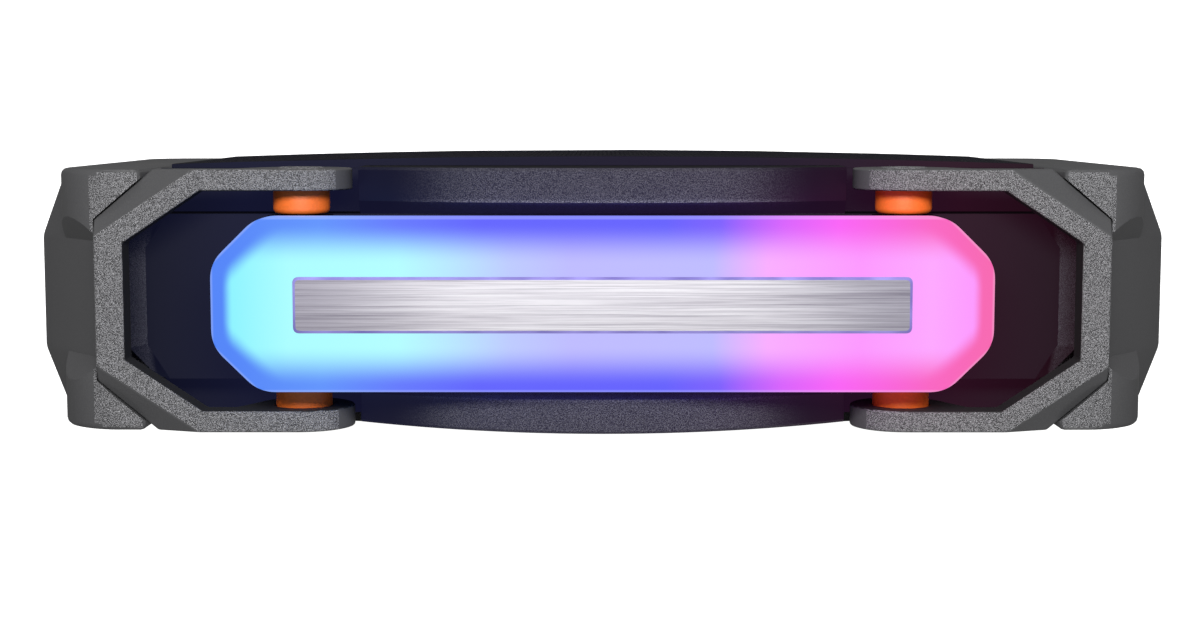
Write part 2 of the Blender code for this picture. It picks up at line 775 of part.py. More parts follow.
def make_rear_panel():
    panel = block(
        "rear_panel",
        (-PANEL_X + GAP, CABINET_BACK + GAP, PANEL_Z[0] + GAP),
        (PANEL_X - GAP, PANEL_FACE, PANEL_Z[1] - GAP),
    )
    for end in SIDES.values():
        low, high = sorted((end * (COVER_X + 0.0006), end * (COVER_X + 0.0046)))
        ear = block(
            "hinge_ear",
            (low, PANEL_FACE - 0.001, COVER_Z[0] - HINGE_R),
            (high, HINGE_Y + HINGE_R, COVER_Z[0] + HINGE_R),
        )
        boolean(panel, ear, "UNION")
    bore = block("pin_bore", (-COVER_X - 0.0026, HINGE_Y - 0.0015, COVER_Z[0] - 0.0015),
                 (COVER_X + 0.0026, HINGE_Y + 0.0015, COVER_Z[0] + 0.0015))
    boolean(panel, bore)
    for name, (across, up) in (("mains", MAINS), ("usb", USB)):
        hole = block(
            name + "_hole",
            (across[0] - GAP, CABINET_BACK - WALL, up[0] - GAP),
            (across[1] + GAP, PANEL_FACE + WALL, up[1] + GAP),
        )
        boolean(panel, hole)
    hole = rod(
        "line_in_hole",
        LINE_IN_R + GAP,
        (LINE_IN[0], CABINET_BACK - WALL, LINE_IN[1]),
        (LINE_IN[0], PANEL_FACE + WALL, LINE_IN[1]),
        segments=12,
    )
    boolean(panel, hole)
    for side in SIDES.values():
        hole = rod(
            "knob_hole",
            0.0030 + GAP,
            (side * KNOB_X, CABINET_BACK - WALL, KNOB_Z),
            (side * KNOB_X, PANEL_FACE + WALL, KNOB_Z),
            segments=12,
        )
        boolean(panel, hole)
    part(panel, BLACK)


def make_socket(name, across, up, wall, depth):
    """Rectangular socket that opens to the rear, set flush in the rear panel."""
    body = block(name, (across[0], PANEL_FACE - depth, up[0]), (across[1], PANEL_FACE + 0.0004, up[1]))
    mouth = block(
        name + "_mouth",
        (across[0] + wall, PANEL_FACE - depth + 0.002, up[0] + wall),
        (across[1] - wall, PANEL_FACE + WALL, up[1] - wall),
    )
    boolean(body, mouth)
    part(body, DARK_METAL)


def make_sockets():
    make_socket("mains_inlet", *MAINS, wall=0.0020, depth=0.018)
    make_socket("usb_socket", *USB, wall=0.0008, depth=0.016)
    profile = [
        (0.0, -0.0100),
        (0.0018, -0.0100),
        (0.0018, 0.0044),
        (LINE_IN_R, 0.0044),
        (LINE_IN_R, -0.0120),
        (0.0, -0.0120),
    ]
    jack = turned("line_in_socket", profile, (LINE_IN[0], CABINET_BACK, LINE_IN[1]), 1, steps=12)
    add_turned(jack, DARK_METAL)


def make_port_cover():
    """Flap over the sockets, hinged on a pin along its lower edge."""
    low = COVER_Z[0]
    view = arc((HINGE_Y, low), HINGE_R, 180, 360, 8)
    view += [(COVER_Y[1] + 0.0008, low + 0.004), (COVER_Y[1], COVER_Z[1]), (COVER_Y[0], COVER_Z[1])]
    view += [(COVER_Y[0], low + 0.004)]
    cover = outline("port_cover", view, -COVER_X, COVER_X)
    cover.data.transform(Matrix(((0, 0, 1, 0), (1, 0, 0, 0), (0, 1, 0, 0), (0, 0, 0, 1))))
    bore = block(
        "cover_bore",
        (-COVER_X - WALL, HINGE_Y - 0.0015, low - 0.0015),
        (COVER_X + WALL, HINGE_Y + 0.0015, low + 0.0015),
    )
    boolean(cover, bore)
    part(cover, RUBBER, origin=(0, HINGE_Y, low))

    bm = bmesh.new()
    bmesh.ops.create_cone(
        bm, cap_ends=True, segments=12, radius1=0.0012, radius2=0.0012, depth=2 * COVER_X + 0.0046
    )
    turn = Matrix.Rotation(math.radians(90), 4, "Y")
    bmesh.ops.transform(bm, matrix=Matrix.Translation((0, HINGE_Y, low)) @ turn, verts=bm.verts)
    pin = object_from_bmesh("port_cover_pin", bm)
    smooth(pin)
    part(pin, DARK_METAL)


def make_knobs():
    for name, side in (("bass_knob", 1), ("microphone_knob", -1)):
        place = (side * KNOB_X, PANEL_FACE, KNOB_Z)
        profile = [
            (0.0, 0.0086),
            (KNOB_R - 0.0008, 0.0086),
            (KNOB_R, 0.0078),
            (KNOB_R + 0.0004, GAP),
            (0.0030, GAP),
            (0.0030, -0.0060),
            (0.0, -0.0060),
        ]
        knob = turned(name, profile, place, 1, steps=16)
        add_turned(knob, BLACK)


# ---------------------------------------------------------------- inside
def make_electronics():
    floor = BASE_Z + WALL + GAP
    battery = block("battery_pack", (-0.060, -0.030, floor), (0.060, 0.036, floor + 0.042))
    bevel(battery, 0.002)
    part(battery, SHRINK_WRAP)
    board = block("amplifier_board", (-0.055, 0.030, 0.064), (0.055, 0.032, 0.190))
    part(board, BOARD)


# ---------------------------------------------------------------- build
clear_scene()
SPEAKER = new_collection("party_speaker")
CUTTERS = new_collection("cutters")

BLACK = material("black_grained_plastic", (0.020, 0.019, 0.026), 0.55)
STEEL_BLACK = material("black_painted_steel", (0.018, 0.018, 0.024), 0.45)
GREY = material("grey_grained_plastic", (0.150, 0.150, 0.155), 0.50)
ORANGE = material("orange_rubber", (0.850, 0.210, 0.045), 0.50)
RUBBER = material("black_rubber", (0.022, 0.022, 0.022), 0.75)
DIFFUSER = material("light_diffuser", (0.750, 0.760, 0.980), 0.35)
ALUMINIUM = material("brushed_aluminium", (0.800, 0.790, 0.820), 0.32, 1.0)
DARK_METAL = material("dark_metal", (0.060, 0.060, 0.065), 0.40, 0.8)
PAPER = material("coated_paper", (0.030, 0.030, 0.033), 0.65)
BOARD = material("circuit_board", (0.020, 0.110, 0.050), 0.45)
SHRINK_WRAP = material("blue_shrink_wrap", (0.030, 0.080, 0.240), 0.35)

make_cabinet_shell()
make_front_baffle()
make_front_grille()
make_rear_cover()
make_feet()
make_top_casing()
make_light_module()
make_control_strip()
make_buttons()
make_rear_panel()
make_sockets()
make_port_cover()
make_knobs()
make_electronics()
for SIDE_NAME, SIDE in SIDES.items():
    make_end_guard(SIDE_NAME, SIDE)
    make_handle(SIDE_NAME, SIDE)
    make_pivots(SIDE_NAME, SIDE)
    make_woofer(SIDE_NAME, SIDE)
    make_tweeter(SIDE_NAME, SIDE)
    make_radiator(SIDE_NAME, SIDE)
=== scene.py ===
# %% [markdown]
# # A party speaker, piece by piece
#
# This lesson dresses a finished mechanical model of a party speaker. The mechanical model, called the
# frame here, already holds every piece at its true size and knows how the pieces move. We build the
# surfaces that people see: grained plastic, a frosted light, brushed metal, rubber and a steel grille.
# The frame is loaded first and never changed. Everything is in metres, and +Z is up.

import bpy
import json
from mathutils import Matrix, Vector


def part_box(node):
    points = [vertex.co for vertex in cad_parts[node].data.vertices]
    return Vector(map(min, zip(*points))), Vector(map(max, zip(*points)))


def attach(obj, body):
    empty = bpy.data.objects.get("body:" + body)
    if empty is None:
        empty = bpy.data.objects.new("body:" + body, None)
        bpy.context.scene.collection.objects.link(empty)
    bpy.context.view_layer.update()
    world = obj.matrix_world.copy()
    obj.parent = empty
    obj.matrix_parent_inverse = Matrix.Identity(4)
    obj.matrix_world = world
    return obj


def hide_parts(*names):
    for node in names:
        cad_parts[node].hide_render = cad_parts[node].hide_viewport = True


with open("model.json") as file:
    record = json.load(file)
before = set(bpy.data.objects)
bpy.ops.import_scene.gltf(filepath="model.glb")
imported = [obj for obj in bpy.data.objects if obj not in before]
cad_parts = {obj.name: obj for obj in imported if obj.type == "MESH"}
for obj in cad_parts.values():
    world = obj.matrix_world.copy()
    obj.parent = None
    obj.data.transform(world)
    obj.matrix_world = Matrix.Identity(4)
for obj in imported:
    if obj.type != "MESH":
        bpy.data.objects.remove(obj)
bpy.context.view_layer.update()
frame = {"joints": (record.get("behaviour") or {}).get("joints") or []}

# %% Modules
import json
import math

import bmesh
import bpy
from mathutils import Matrix, Vector

MM = 0.001
SIDES = {"right": 1, "left": -1}
ENDS = {"front": -1, "rear": 1}

# %% [markdown]
# ## Where things are
#
# Positions come from the frame, so that a piece can't drift from its mechanical twin. A few values
# that many pieces share are read once.

# %% Shared places
light_low, light_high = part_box("light_diffuser")
plate_low, plate_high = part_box("brushed_plate")
casing_low, casing_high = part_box("top_casing")
guard_low, guard_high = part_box("end_guard_right")
handle_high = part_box("handle_right")[1]
shell_low, shell_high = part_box("cabinet_shell")
baffle_low, baffle_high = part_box("front_baffle")
grille_low, grille_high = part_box("front_grille")
cover_low, cover_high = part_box("rear_cover")
joints = {joint["name"]: joint for joint in frame["joints"]}
pivot = Vector(joints["handle_right_hinge"]["pos_m"])
LUG_R = handle_high.z - pivot.z
AIR = 0.3 * MM
PLATEAU_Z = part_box("light_tray")[0].z - AIR
print("handle pivot:", pivot, "lug radius:", round(LUG_R, 4), "plateau height:", round(PLATEAU_Z, 4))

# %% [markdown]
# ## The camera
#
# The speaker is seen almost straight down, from one metre above the light, leaning a few degrees
# towards the grille. Up in the picture is the grille side (-Y), so the camera's own axes are worked
# out from that direction. A lens a little longer than normal keeps the two ends from splaying.

# %% Camera
LEAN = math.radians(5.5)
DISTANCE = 1.0
light_middle = Vector((0, 0, light_high.z))
camera_place = light_middle + DISTANCE * Vector((0, -math.sin(LEAN), math.cos(LEAN)))
aim = light_middle + Vector((0.00125, 0.0050, 0))
camera_data = bpy.data.cameras.new("camera")
camera_data.lens = 59.7
camera_data.sensor_width = 36.0
camera_data.clip_start = 0.05
camera = bpy.data.objects.new("camera", camera_data)
bpy.context.scene.collection.objects.link(camera)
back = (camera_place - aim).normalized()
right = Vector((0, -1, 0)).cross(back).normalized()
up = back.cross(right)
camera.matrix_world = Matrix.Translation(camera_place) @ Matrix((right, up, back)).transposed().to_4x4()
bpy.context.scene.camera = camera
print("camera at", [round(v, 3) for v in camera_place])

# %% [markdown]
# ## Floor and light
#
# A pale floor and one soft box overhead make a plain studio. The soft box hangs towards the grille
# side, so the light's slab throws a soft shadow on the rear bushes. Two weak fills stand level with
# the speaker, one before it and one behind, and only reach the upright faces. The faces that turn to
# the ends stay dark, because nothing shines on them from the sides.

# %% Studio
scene = bpy.context.scene
scene.view_settings.view_transform = "Standard"


def area_light(name, place, target, size_x, size_y, power):
    data = bpy.data.lights.new(name, "AREA")
    data.shape = "RECTANGLE"
    data.size = size_x
    data.size_y = size_y
    data.energy = power
    lamp = bpy.data.objects.new(name, data)
    scene.collection.objects.link(lamp)
    lamp.location = place
    lamp.rotation_euler = (Vector(target) - Vector(place)).to_track_quat("-Z", "Y").to_euler()
    return lamp


area_light("soft_box", (0, -0.55, 1.60), (0, 0, 0.25), 1.30, 0.30, 28)
area_light("front_fill", (0.3, -2.2, 0.25), (0, 0, 0.15), 1.4, 0.4, 6)
area_light("rear_fill", (-0.4, 2.2, 0.25), (0, 0, 0.15), 1.4, 0.4, 9)

world = bpy.data.worlds.new("studio")
scene.world = world
world.use_nodes = True
world.node_tree.nodes["Background"].inputs["Color"].default_value = (1, 1, 1, 1)
world.node_tree.nodes["Background"].inputs["Strength"].default_value = 0.16


def make_floor():
    bm = bmesh.new()
    bmesh.ops.create_grid(bm, x_segments=2, y_segments=2, size=6.0)
    mesh = bpy.data.meshes.new("floor")
    bm.to_mesh(mesh)
    bm.free()
    floor = bpy.data.objects.new("floor", mesh)
    scene.collection.objects.link(floor)
    mat = bpy.data.materials.new("floor_paper")
    mat.use_nodes = True
    shader = mat.node_tree.nodes["Principled BSDF"]
    shader.inputs["Base Color"].default_value = (0.70, 0.70, 0.70, 1)
    shader.inputs["Roughness"].default_value = 0.9
    shader.inputs["Specular IOR Level"].default_value = 0.1
    shader.inputs["Emission Color"].default_value = (1, 1, 1, 1)
    shader.inputs["Emission Strength"].default_value = 1.0
    floor.data.materials.append(mat)
    floor.visible_diffuse = False
    floor.visible_glossy = False
    return floor


make_floor()

# %% [markdown]
# ## A small kit for materials
#
# Each material is a Principled shader with a few nodes in front of it. The helpers below add one node
# and connect it in one call. Textures read object coordinates, which are metres here, so a scale of
# 900 means a grain of about a millimetre.

# %% Material helpers


class Finish:
    """One material while it is being built."""

    def __init__(self, name, colour, roughness, metallic=0.0, specular=0.5):
        self.material = bpy.data.materials.new(name)
        self.material.use_nodes = True
        self.tree = self.material.node_tree
        self.shader = self.tree.nodes["Principled BSDF"]
        self.set("Base Color", (*colour, 1.0))
        self.set("Roughness", roughness)
        self.set("Metallic", metallic)
        self.set("Specular IOR Level", specular)

    def set(self, socket, value):
        self.shader.inputs[socket].default_value = value

    def node(self, kind, inputs=None, **settings):
        made = self.tree.nodes.new(kind)
        for key, value in settings.items():
            setattr(made, key, value)
        for key, value in (inputs or {}).items():
            self.feed(made.inputs[key], value)
        return made

    def feed(self, socket, value):
        if isinstance(value, bpy.types.NodeSocket):
            self.tree.links.new(value, socket)
        else:
            socket.default_value = value

    def math(self, operation, *values):
        made = self.node("ShaderNodeMath", operation=operation)
        for socket, value in zip(made.inputs, values):
            self.feed(socket, value)
        return made.outputs[0]

    def mix(self, factor, a, b, blend="MIX"):
        made = self.node("ShaderNodeMix", data_type="RGBA", blend_type=blend)
        for socket, value in (("Factor", factor), ("A", a), ("B", b)):
            self.feed(made.inputs[socket], value)
        return made.outputs["Result"]

    def ramp(self, factor, stops):
        made = self.node("ShaderNodeValToRGB", {"Fac": factor})
        while len(made.color_ramp.elements) < len(stops):
            made.color_ramp.elements.new(1.0)
        for element, (position, colour) in zip(made.color_ramp.elements, stops):
            element.position = position
            element.color = (*colour, 1.0)
        return made.outputs["Color"]

    def smoothstep(self, value, low, high):
        made = self.node("ShaderNodeMapRange", interpolation_type="SMOOTHSTEP")
        self.feed(made.inputs["Value"], value)
        made.inputs["From Min"].default_value = low
        made.inputs["From Max"].default_value = high
        return made.outputs["Result"]

    def place(self, stretch=(1, 1, 1)):
        coordinates = self.node("ShaderNodeTexCoord")
        mapping = self.node("ShaderNodeMapping", {"Vector": coordinates.outputs["Object"]})
        mapping.inputs["Scale"].default_value = stretch
        return mapping.outputs["Vector"]

    def noise(self, scale, detail=2.0, roughness=0.5, stretch=(1, 1, 1)):
        return self.node(
            "ShaderNodeTexNoise",
            {"Vector": self.place(stretch), "Scale": scale, "Detail": detail, "Roughness": roughness},
        ).outputs["Fac"]

    def bump(self, height, strength, distance):
        made = self.node("ShaderNodeBump", {"Height": height, "Strength": strength, "Distance": distance})
        self.feed(self.shader.inputs["Normal"], made.outputs["Normal"])
        return made


def grained_plastic(name, colour, roughness, grain, depth, mottle=0.12, specular=0.5):
    """Spark-eroded mould texture: fine bumps that glitter where they face the light."""
    finish = Finish(name, colour, roughness, specular=specular)
    fine = finish.noise(grain, detail=2.0, roughness=0.6)
    finish.bump(fine, 1.0, depth)
    dark = tuple(c * (1 - mottle) for c in colour)
    bright = tuple(c * (1 + mottle) for c in colour)
    shade = finish.ramp(fine, [(0.43, dark), (0.58, bright)])
    finish.feed(finish.shader.inputs["Base Color"], shade)
    wear = finish.noise(18, detail=3.0)
    rough = finish.math("MULTIPLY_ADD", wear, 0.16, roughness - 0.08)
    finish.feed(finish.shader.inputs["Roughness"], rough)
    return finish.material


# %% [markdown]
# ## Plastics, rubber and metals
#
# The grey plastic of the handles and end guards and the black plastic of the casing share one recipe
# with different colours: a fine noise bends the surface a little, and every bump that faces the soft
# box glints. The rubber has a softer, shallower grain. The metals are nearly smooth.

# %% Finishes
GREY = (0.160, 0.159, 0.166)
BLACK = (0.013, 0.0125, 0.016)
grey_plastic = grained_plastic("grey_grained_plastic", GREY, 0.26, 1900, 0.00070, mottle=0.72)
# A copy of the grey plastic at half the brightness and with little grain, for faces that don't face up:
# painted shade.
grey_with_painted_shade = grained_plastic("painted_shade_grey_plastic", (0.080, 0.080, 0.083), 0.40, 1500, 0.00008, 0.06)
black_plastic = grained_plastic("black_grained_plastic", BLACK, 0.30, 1500, 0.00060, mottle=0.70)
smooth_black = grained_plastic("smooth_black_plastic", (0.006, 0.006, 0.009), 0.42, 2200, 0.00003, 0.12, 0.25)
grille_black = grained_plastic("black_painted_steel", (0.007, 0.0065, 0.011), 0.60, 1800, 0.00004, 0.12, 0.12)
orange_rubber = grained_plastic("orange_rubber", (0.900, 0.170, 0.022), 0.42, 700, 0.00002, mottle=0.04)
black_rubber = grained_plastic("black_rubber", (0.020, 0.020, 0.021), 0.62, 1500, 0.00005)
print("plastics and rubbers:", len(bpy.data.materials))


def plain_metal(name, colour, roughness):
    finish = Finish(name, colour, roughness, metallic=1.0)
    cloud = finish.noise(220, detail=4.0)
    rough = finish.math("MULTIPLY_ADD", cloud, 0.20, roughness - 0.10)
    finish.feed(finish.shader.inputs["Roughness"], rough)
    finish.bump(cloud, 0.4, 0.00003)
    return finish.material


dark_metal = plain_metal("dark_metal", (0.20, 0.20, 0.21), 0.42)
bright_metal = plain_metal("bright_metal", (0.72, 0.72, 0.74), 0.30)


def pulp_cone(name):
    """Pressed paper pulp: short fibres in the colour, a felt-like bump."""
    finish = Finish(name, (0.03, 0.03, 0.034), 0.72, specular=0.3)
    fibres = finish.noise(420, detail=6.0, roughness=0.7)
    shade = finish.ramp(fibres, [(0.3, (0.016, 0.016, 0.018)), (0.7, (0.050, 0.049, 0.052))])
    finish.feed(finish.shader.inputs["Base Color"], shade)
    finish.bump(fibres, 0.8, 0.00012)
    return finish.material


paper = pulp_cone("coated_paper")
print("metals and pulp are ready")

# %% [markdown]
# ## Outlines, lofts and turned pieces
#
# Nearly every piece of this speaker is one of three shapes: a flat outline given a thickness, a loft
# between a few rings, or a turned profile. Cut-outs are Boolean cuts. `settle` turns the result into
# a plain mesh, and a Bevel modifier then rounds its edges, as a mould maker would.

# %% Mesh helpers


def in_mm(*points):
    """Outline or profile given in millimetres."""
    return [(MM * a, MM * b) for a, b in points]


def arc(centre, radius, start, end, steps):
    points = []
    for i in range(steps + 1):
        a = math.radians(start + (end - start) * i / steps)
        points.append((centre[0] + radius * math.cos(a), centre[1] + radius * math.sin(a)))
    return points


def rounded(points, radius, steps=6):
    """Outline whose corners are replaced by smooth curves that start and end at tangent points."""
    result = []
    for i, corner in enumerate(points):
        corner = Vector(corner)
        before = Vector(points[i - 1]) - corner
        after = Vector(points[(i + 1) % len(points)]) - corner
        reach = radius / math.tan(before.angle(after) / 2)
        start = corner + before.normalized() * reach
        end = corner + after.normalized() * reach
        for k in range(steps + 1):
            t = k / steps
            spot = start.lerp(corner, t).lerp(corner.lerp(end, t), t)
            result.append((spot.x, spot.y))
    return result


def object_from(bm, name):
    mesh = bpy.data.meshes.new(name)
    bm.to_mesh(mesh)
    bm.free()
    made = bpy.data.objects.new(name, mesh)
    scene.collection.objects.link(made)
    return made


def block(name, low, high):
    bm = bmesh.new()
    bmesh.ops.create_cube(bm, size=1.0)
    bmesh.ops.scale(bm, vec=Vector(high) - Vector(low), verts=bm.verts)
    bmesh.ops.translate(bm, vec=(Vector(high) + Vector(low)) / 2, verts=bm.verts)
    return object_from(bm, name)


PLANES = {
    "XY": Matrix.Identity(4),
    "XZ": Matrix(((1, 0, 0, 0), (0, 0, -1, 0), (0, 1, 0, 0), (0, 0, 0, 1))),
    "YZ": Matrix(((0, 0, 1, 0), (1, 0, 0, 0), (0, 1, 0, 0), (0, 0, 0, 1))),
}


def outline(name, points, low, high, plane="XY"):
    """Prism over a flat outline. In the XZ plane low and high are measured along -Y."""
    bm = bmesh.new()
    base = bm.faces.new([bm.verts.new((u, v, low)) for u, v in points])
    top = bmesh.ops.extrude_face_region(bm, geom=[base])
    verts = [v for v in top["geom"] if isinstance(v, bmesh.types.BMVert)]
    bmesh.ops.translate(bm, vec=(0, 0, high - low), verts=verts)
    bmesh.ops.transform(bm, matrix=PLANES[plane], verts=bm.verts)
    bmesh.ops.recalc_face_normals(bm, faces=bm.faces)
    return object_from(bm, name)


def loft(name, sections):
    bm = bmesh.new()
    rings = [[bm.verts.new(point) for point in ring] for ring in sections]
    for here, there in zip(rings, rings[1:]):
        for i in range(len(here)):
            j = (i + 1) % len(here)
            bm.faces.new((here[i], here[j], there[j], there[i]))
    bm.faces.new(rings[0])
    bm.faces.new(rings[-1])
    bmesh.ops.recalc_face_normals(bm, faces=bm.faces)
    return object_from(bm, name)


def turned(name, profile, place, facing, closed=False, steps=96):
    """Piece turned about Y through place. Profile points are (radius, height towards facing)."""
    bm = bmesh.new()
    verts = [bm.verts.new((radius, 0.0, height)) for radius, height in profile]
    edges = [bm.edges.new((a, b)) for a, b in zip(verts, verts[1:])]
    if closed:
        edges.append(bm.edges.new((verts[-1], verts[0])))
    bmesh.ops.spin(
        bm,
        geom=verts + edges,
        cent=(0, 0, 0),
        axis=(0, 0, 1),
        angle=2 * math.pi,
        steps=steps,
        use_merge=True,
    )
    bmesh.ops.remove_doubles(bm, verts=bm.verts, dist=0.000005)
    turn = Matrix.Translation(place) @ Matrix.Rotation(math.radians(-90 * facing), 4, "X")
    bmesh.ops.transform(bm, matrix=turn, verts=bm.verts)
    bmesh.ops.recalc_face_normals(bm, faces=bm.faces)
    return smooth(object_from(bm, name))


def rod(name, radius, x, z, low_y, high_y, steps=48):
    bm = bmesh.new()
    bmesh.ops.create_cone(
        bm, cap_ends=True, segments=steps, radius1=radius, radius2=radius, depth=high_y - low_y
    )
    turn = Matrix.Translation((x, (low_y + high_y) / 2, z)) @ Matrix.Rotation(math.radians(90), 4, "X")
    bmesh.ops.transform(bm, matrix=turn, verts=bm.verts)
    return object_from(bm, name)


def boolean(obj, other, operation="DIFFERENCE"):
    mod = obj.modifiers.new(operation.lower(), "BOOLEAN")
    mod.solver = "EXACT"
    mod.operation = operation
    mod.object = other


def smooth(obj, angle=30):
    obj.data.shade_smooth()
    obj.data.set_sharp_from_angle(angle=math.radians(angle))
    return obj


def settle(obj):
    """Apply the modifiers and throw the cutters away."""
    bpy.context.view_layer.update()
    depsgraph = bpy.context.evaluated_depsgraph_get()
    mesh = bpy.data.meshes.new_from_object(obj.evaluated_get(depsgraph))
    helpers = [mod.object for mod in obj.modifiers if mod.type == "BOOLEAN"]
    obj.modifiers.clear()
    obj.data = mesh
    for helper in helpers:
        bpy.data.objects.remove(helper, do_unlink=True)
    bm = bmesh.new()
    bm.from_mesh(obj.data)
    bmesh.ops.remove_doubles(bm, verts=bm.verts, dist=0.00002)
    bmesh.ops.dissolve_limit(
        bm, angle_limit=math.radians(0.5), verts=bm.verts, edges=bm.edges, use_dissolve_boundaries=False
    )
    bm.to_mesh(obj.data)
    bm.free()
    return obj


def pre_round(obj, width, segments=3, angle=40):
    """Round the edges before any cut is made, so that small cut edges can't limit the radius."""
    mod = obj.modifiers.new("first_bevel", "BEVEL")
    mod.width = width
    mod.segments = segments
    mod.limit_method = "ANGLE"
    mod.angle_limit = math.radians(angle)
    return obj


def round_edges(obj, width, segments=3, angle=28):
    mod = obj.modifiers.new("bevel", "BEVEL")
    mod.width = width
    mod.segments = segments
    mod.limit_method = "ANGLE"
    mod.angle_limit = math.radians(angle)
    mod.harden_normals = True
    mod.miter_outer = "MITER_ARC"
    return smooth(obj, angle)


def turn_round(obj):
    """Half a turn about Z: the piece for the other end."""
    obj.data.transform(Matrix.Rotation(math.pi, 4, "Z"))
    return obj


def dress(obj, material, body, slot, *nodes):
    """Give a piece its finish, let it ride on its body and stand for its frame nodes."""
    obj.data.materials.clear()
    obj.data.materials.append(material)
    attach(obj, body)
    if nodes:
        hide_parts(*nodes)
    return obj


print("helpers ready")

# %% [markdown]
# ## The light
#
# The long octagon on top is a slab of frosted acrylic with coloured lamps under it. On the real thing
# the colours bleed into each other, cyan at one end, violet in the middle and pink at the other, and
# the rim shows a deeper colour, because the lamps' light reaches it last. The material measures how
# far each point lies from the rim and blends a deep colour at the rim into a pale one in the middle.
# A thin pale line along the very rim is a painted highlight of the bevelled edge.

# %% Frosted light slab
LIGHT_X = light_high.x
LIGHT_Y = light_high.y
END_HALF = 0.0209       # half width of the slab's end edge
SHOULDER_X = 0.1735     # where the slab's long edge turns to the slanted corner
# The bright line along the rim is a painted highlight of the slab's bevelled edge.
RIM_HIGHLIGHT = 0.18         # strength of the bright line along the rim


def light_plan():
    quarter = [(LIGHT_X, END_HALF), (SHOULDER_X, LIGHT_Y)]
    one_side = quarter + [(-x, y) for x, y in reversed(quarter)]
    return one_side + [(x, -y) for x, y in reversed(one_side)]


def byte_colour(red, green, blue):
    """Screen colour, 0 to 255, as the linear value that a shader wants."""
    linear = []
    for value in (red, green, blue):
        share = value / 255
        linear.append(share / 12.92 if share <= 0.04045 else ((share + 0.055) / 1.055) ** 2.4)
    return tuple(linear)


def glow_finish():
    finish = Finish("frosted_light", (0.02, 0.02, 0.04), 0.38, specular=0.06)
    split = finish.node("ShaderNodeSeparateXYZ", {"Vector": finish.place()})
    x, y = split.outputs["X"], split.outputs["Y"]
    across = finish.math("ABSOLUTE", x)
    down = finish.math("ABSOLUTE", y)
    along = finish.math("DIVIDE", finish.math("SUBTRACT", LIGHT_X, x), 2 * LIGHT_X)
    pale = finish.ramp(
        along,
        [
            (0.03, byte_colour(140, 244, 255)),
            (0.10, byte_colour(170, 254, 254)),
            (0.24, byte_colour(179, 254, 254)),
            (0.38, byte_colour(189, 203, 253)),
            (0.46, byte_colour(190, 187, 253)),
            (0.64, byte_colour(190, 187, 253)),
            (0.71, byte_colour(250, 172, 254)),
            (0.83, byte_colour(253, 150, 254)),
            (0.92, byte_colour(254, 166, 254)),
            (0.97, byte_colour(253, 152, 253)),
        ],
    )
    deep = finish.ramp(
        along,
        [
            (0.02, byte_colour(74, 130, 246)),
            (0.14, byte_colour(92, 146, 250)),
            (0.24, byte_colour(95, 118, 251)),
            (0.34, byte_colour(92, 95, 251)),
            (0.58, byte_colour(96, 91, 251)),
            (0.65, byte_colour(122, 90, 251)),
            (0.73, byte_colour(216, 92, 250)),
            (0.80, byte_colour(250, 92, 244)),
            (0.92, byte_colour(250, 95, 190)),
            (0.99, byte_colour(248, 98, 172)),
        ],
    )
    from_side = finish.math("SUBTRACT", LIGHT_Y, down)
    from_end = finish.math("SUBTRACT", LIGHT_X, across)
    run = Vector((LIGHT_X - SHOULDER_X, LIGHT_Y - END_HALF)).normalized()
    reach = LIGHT_X * run.y + END_HALF * run.x
    slant = finish.math("MULTIPLY_ADD", across, run.y, finish.math("MULTIPLY", down, run.x))
    from_slant = finish.math("SUBTRACT", reach, slant)
    side_fade = finish.smoothstep(from_side, 0.003, 0.024)
    end_fade = finish.smoothstep(from_end, 0.0055, 0.0115)
    slant_fade = finish.smoothstep(from_slant, 0.0055, 0.0150)
    fade = finish.math("MULTIPLY", finish.math("MULTIPLY", side_fade, end_fade), slant_fade)
    glow = finish.mix(fade, deep, pale)
    # Painted highlight: a pale line mixed into the glow along the very rim.
    nearest = finish.math("MINIMUM", finish.math("MINIMUM", from_side, from_end), from_slant)
    inside = finish.smoothstep(nearest, 0.0006, 0.0017)
    rim_highlight = finish.math("MULTIPLY_ADD", inside, -RIM_HIGHLIGHT, RIM_HIGHLIGHT)
    with_rim_highlight = finish.mix(rim_highlight, glow, (0.80, 0.90, 1.0, 1.0))
    finish.feed(finish.shader.inputs["Emission Color"], with_rim_highlight)
    finish.set("Emission Strength", 0.97)
    frost = finish.noise(900, detail=2.0)
    finish.bump(frost, 0.3, 0.00004)
    return finish.material


light_finish = glow_finish()


def make_light_slab():
    slab = outline("light_slab", rounded(light_plan(), 0.020, 10), light_low.z, light_high.z)
    round_edges(slab, 1.3 * MM, segments=3, angle=50)
    return dress(slab, light_finish, "cabinet", "light_diffuser", "light_diffuser")


make_light_slab()
print("light slab", round(2000 * LIGHT_X), "x", round(2000 * LIGHT_Y), "mm")
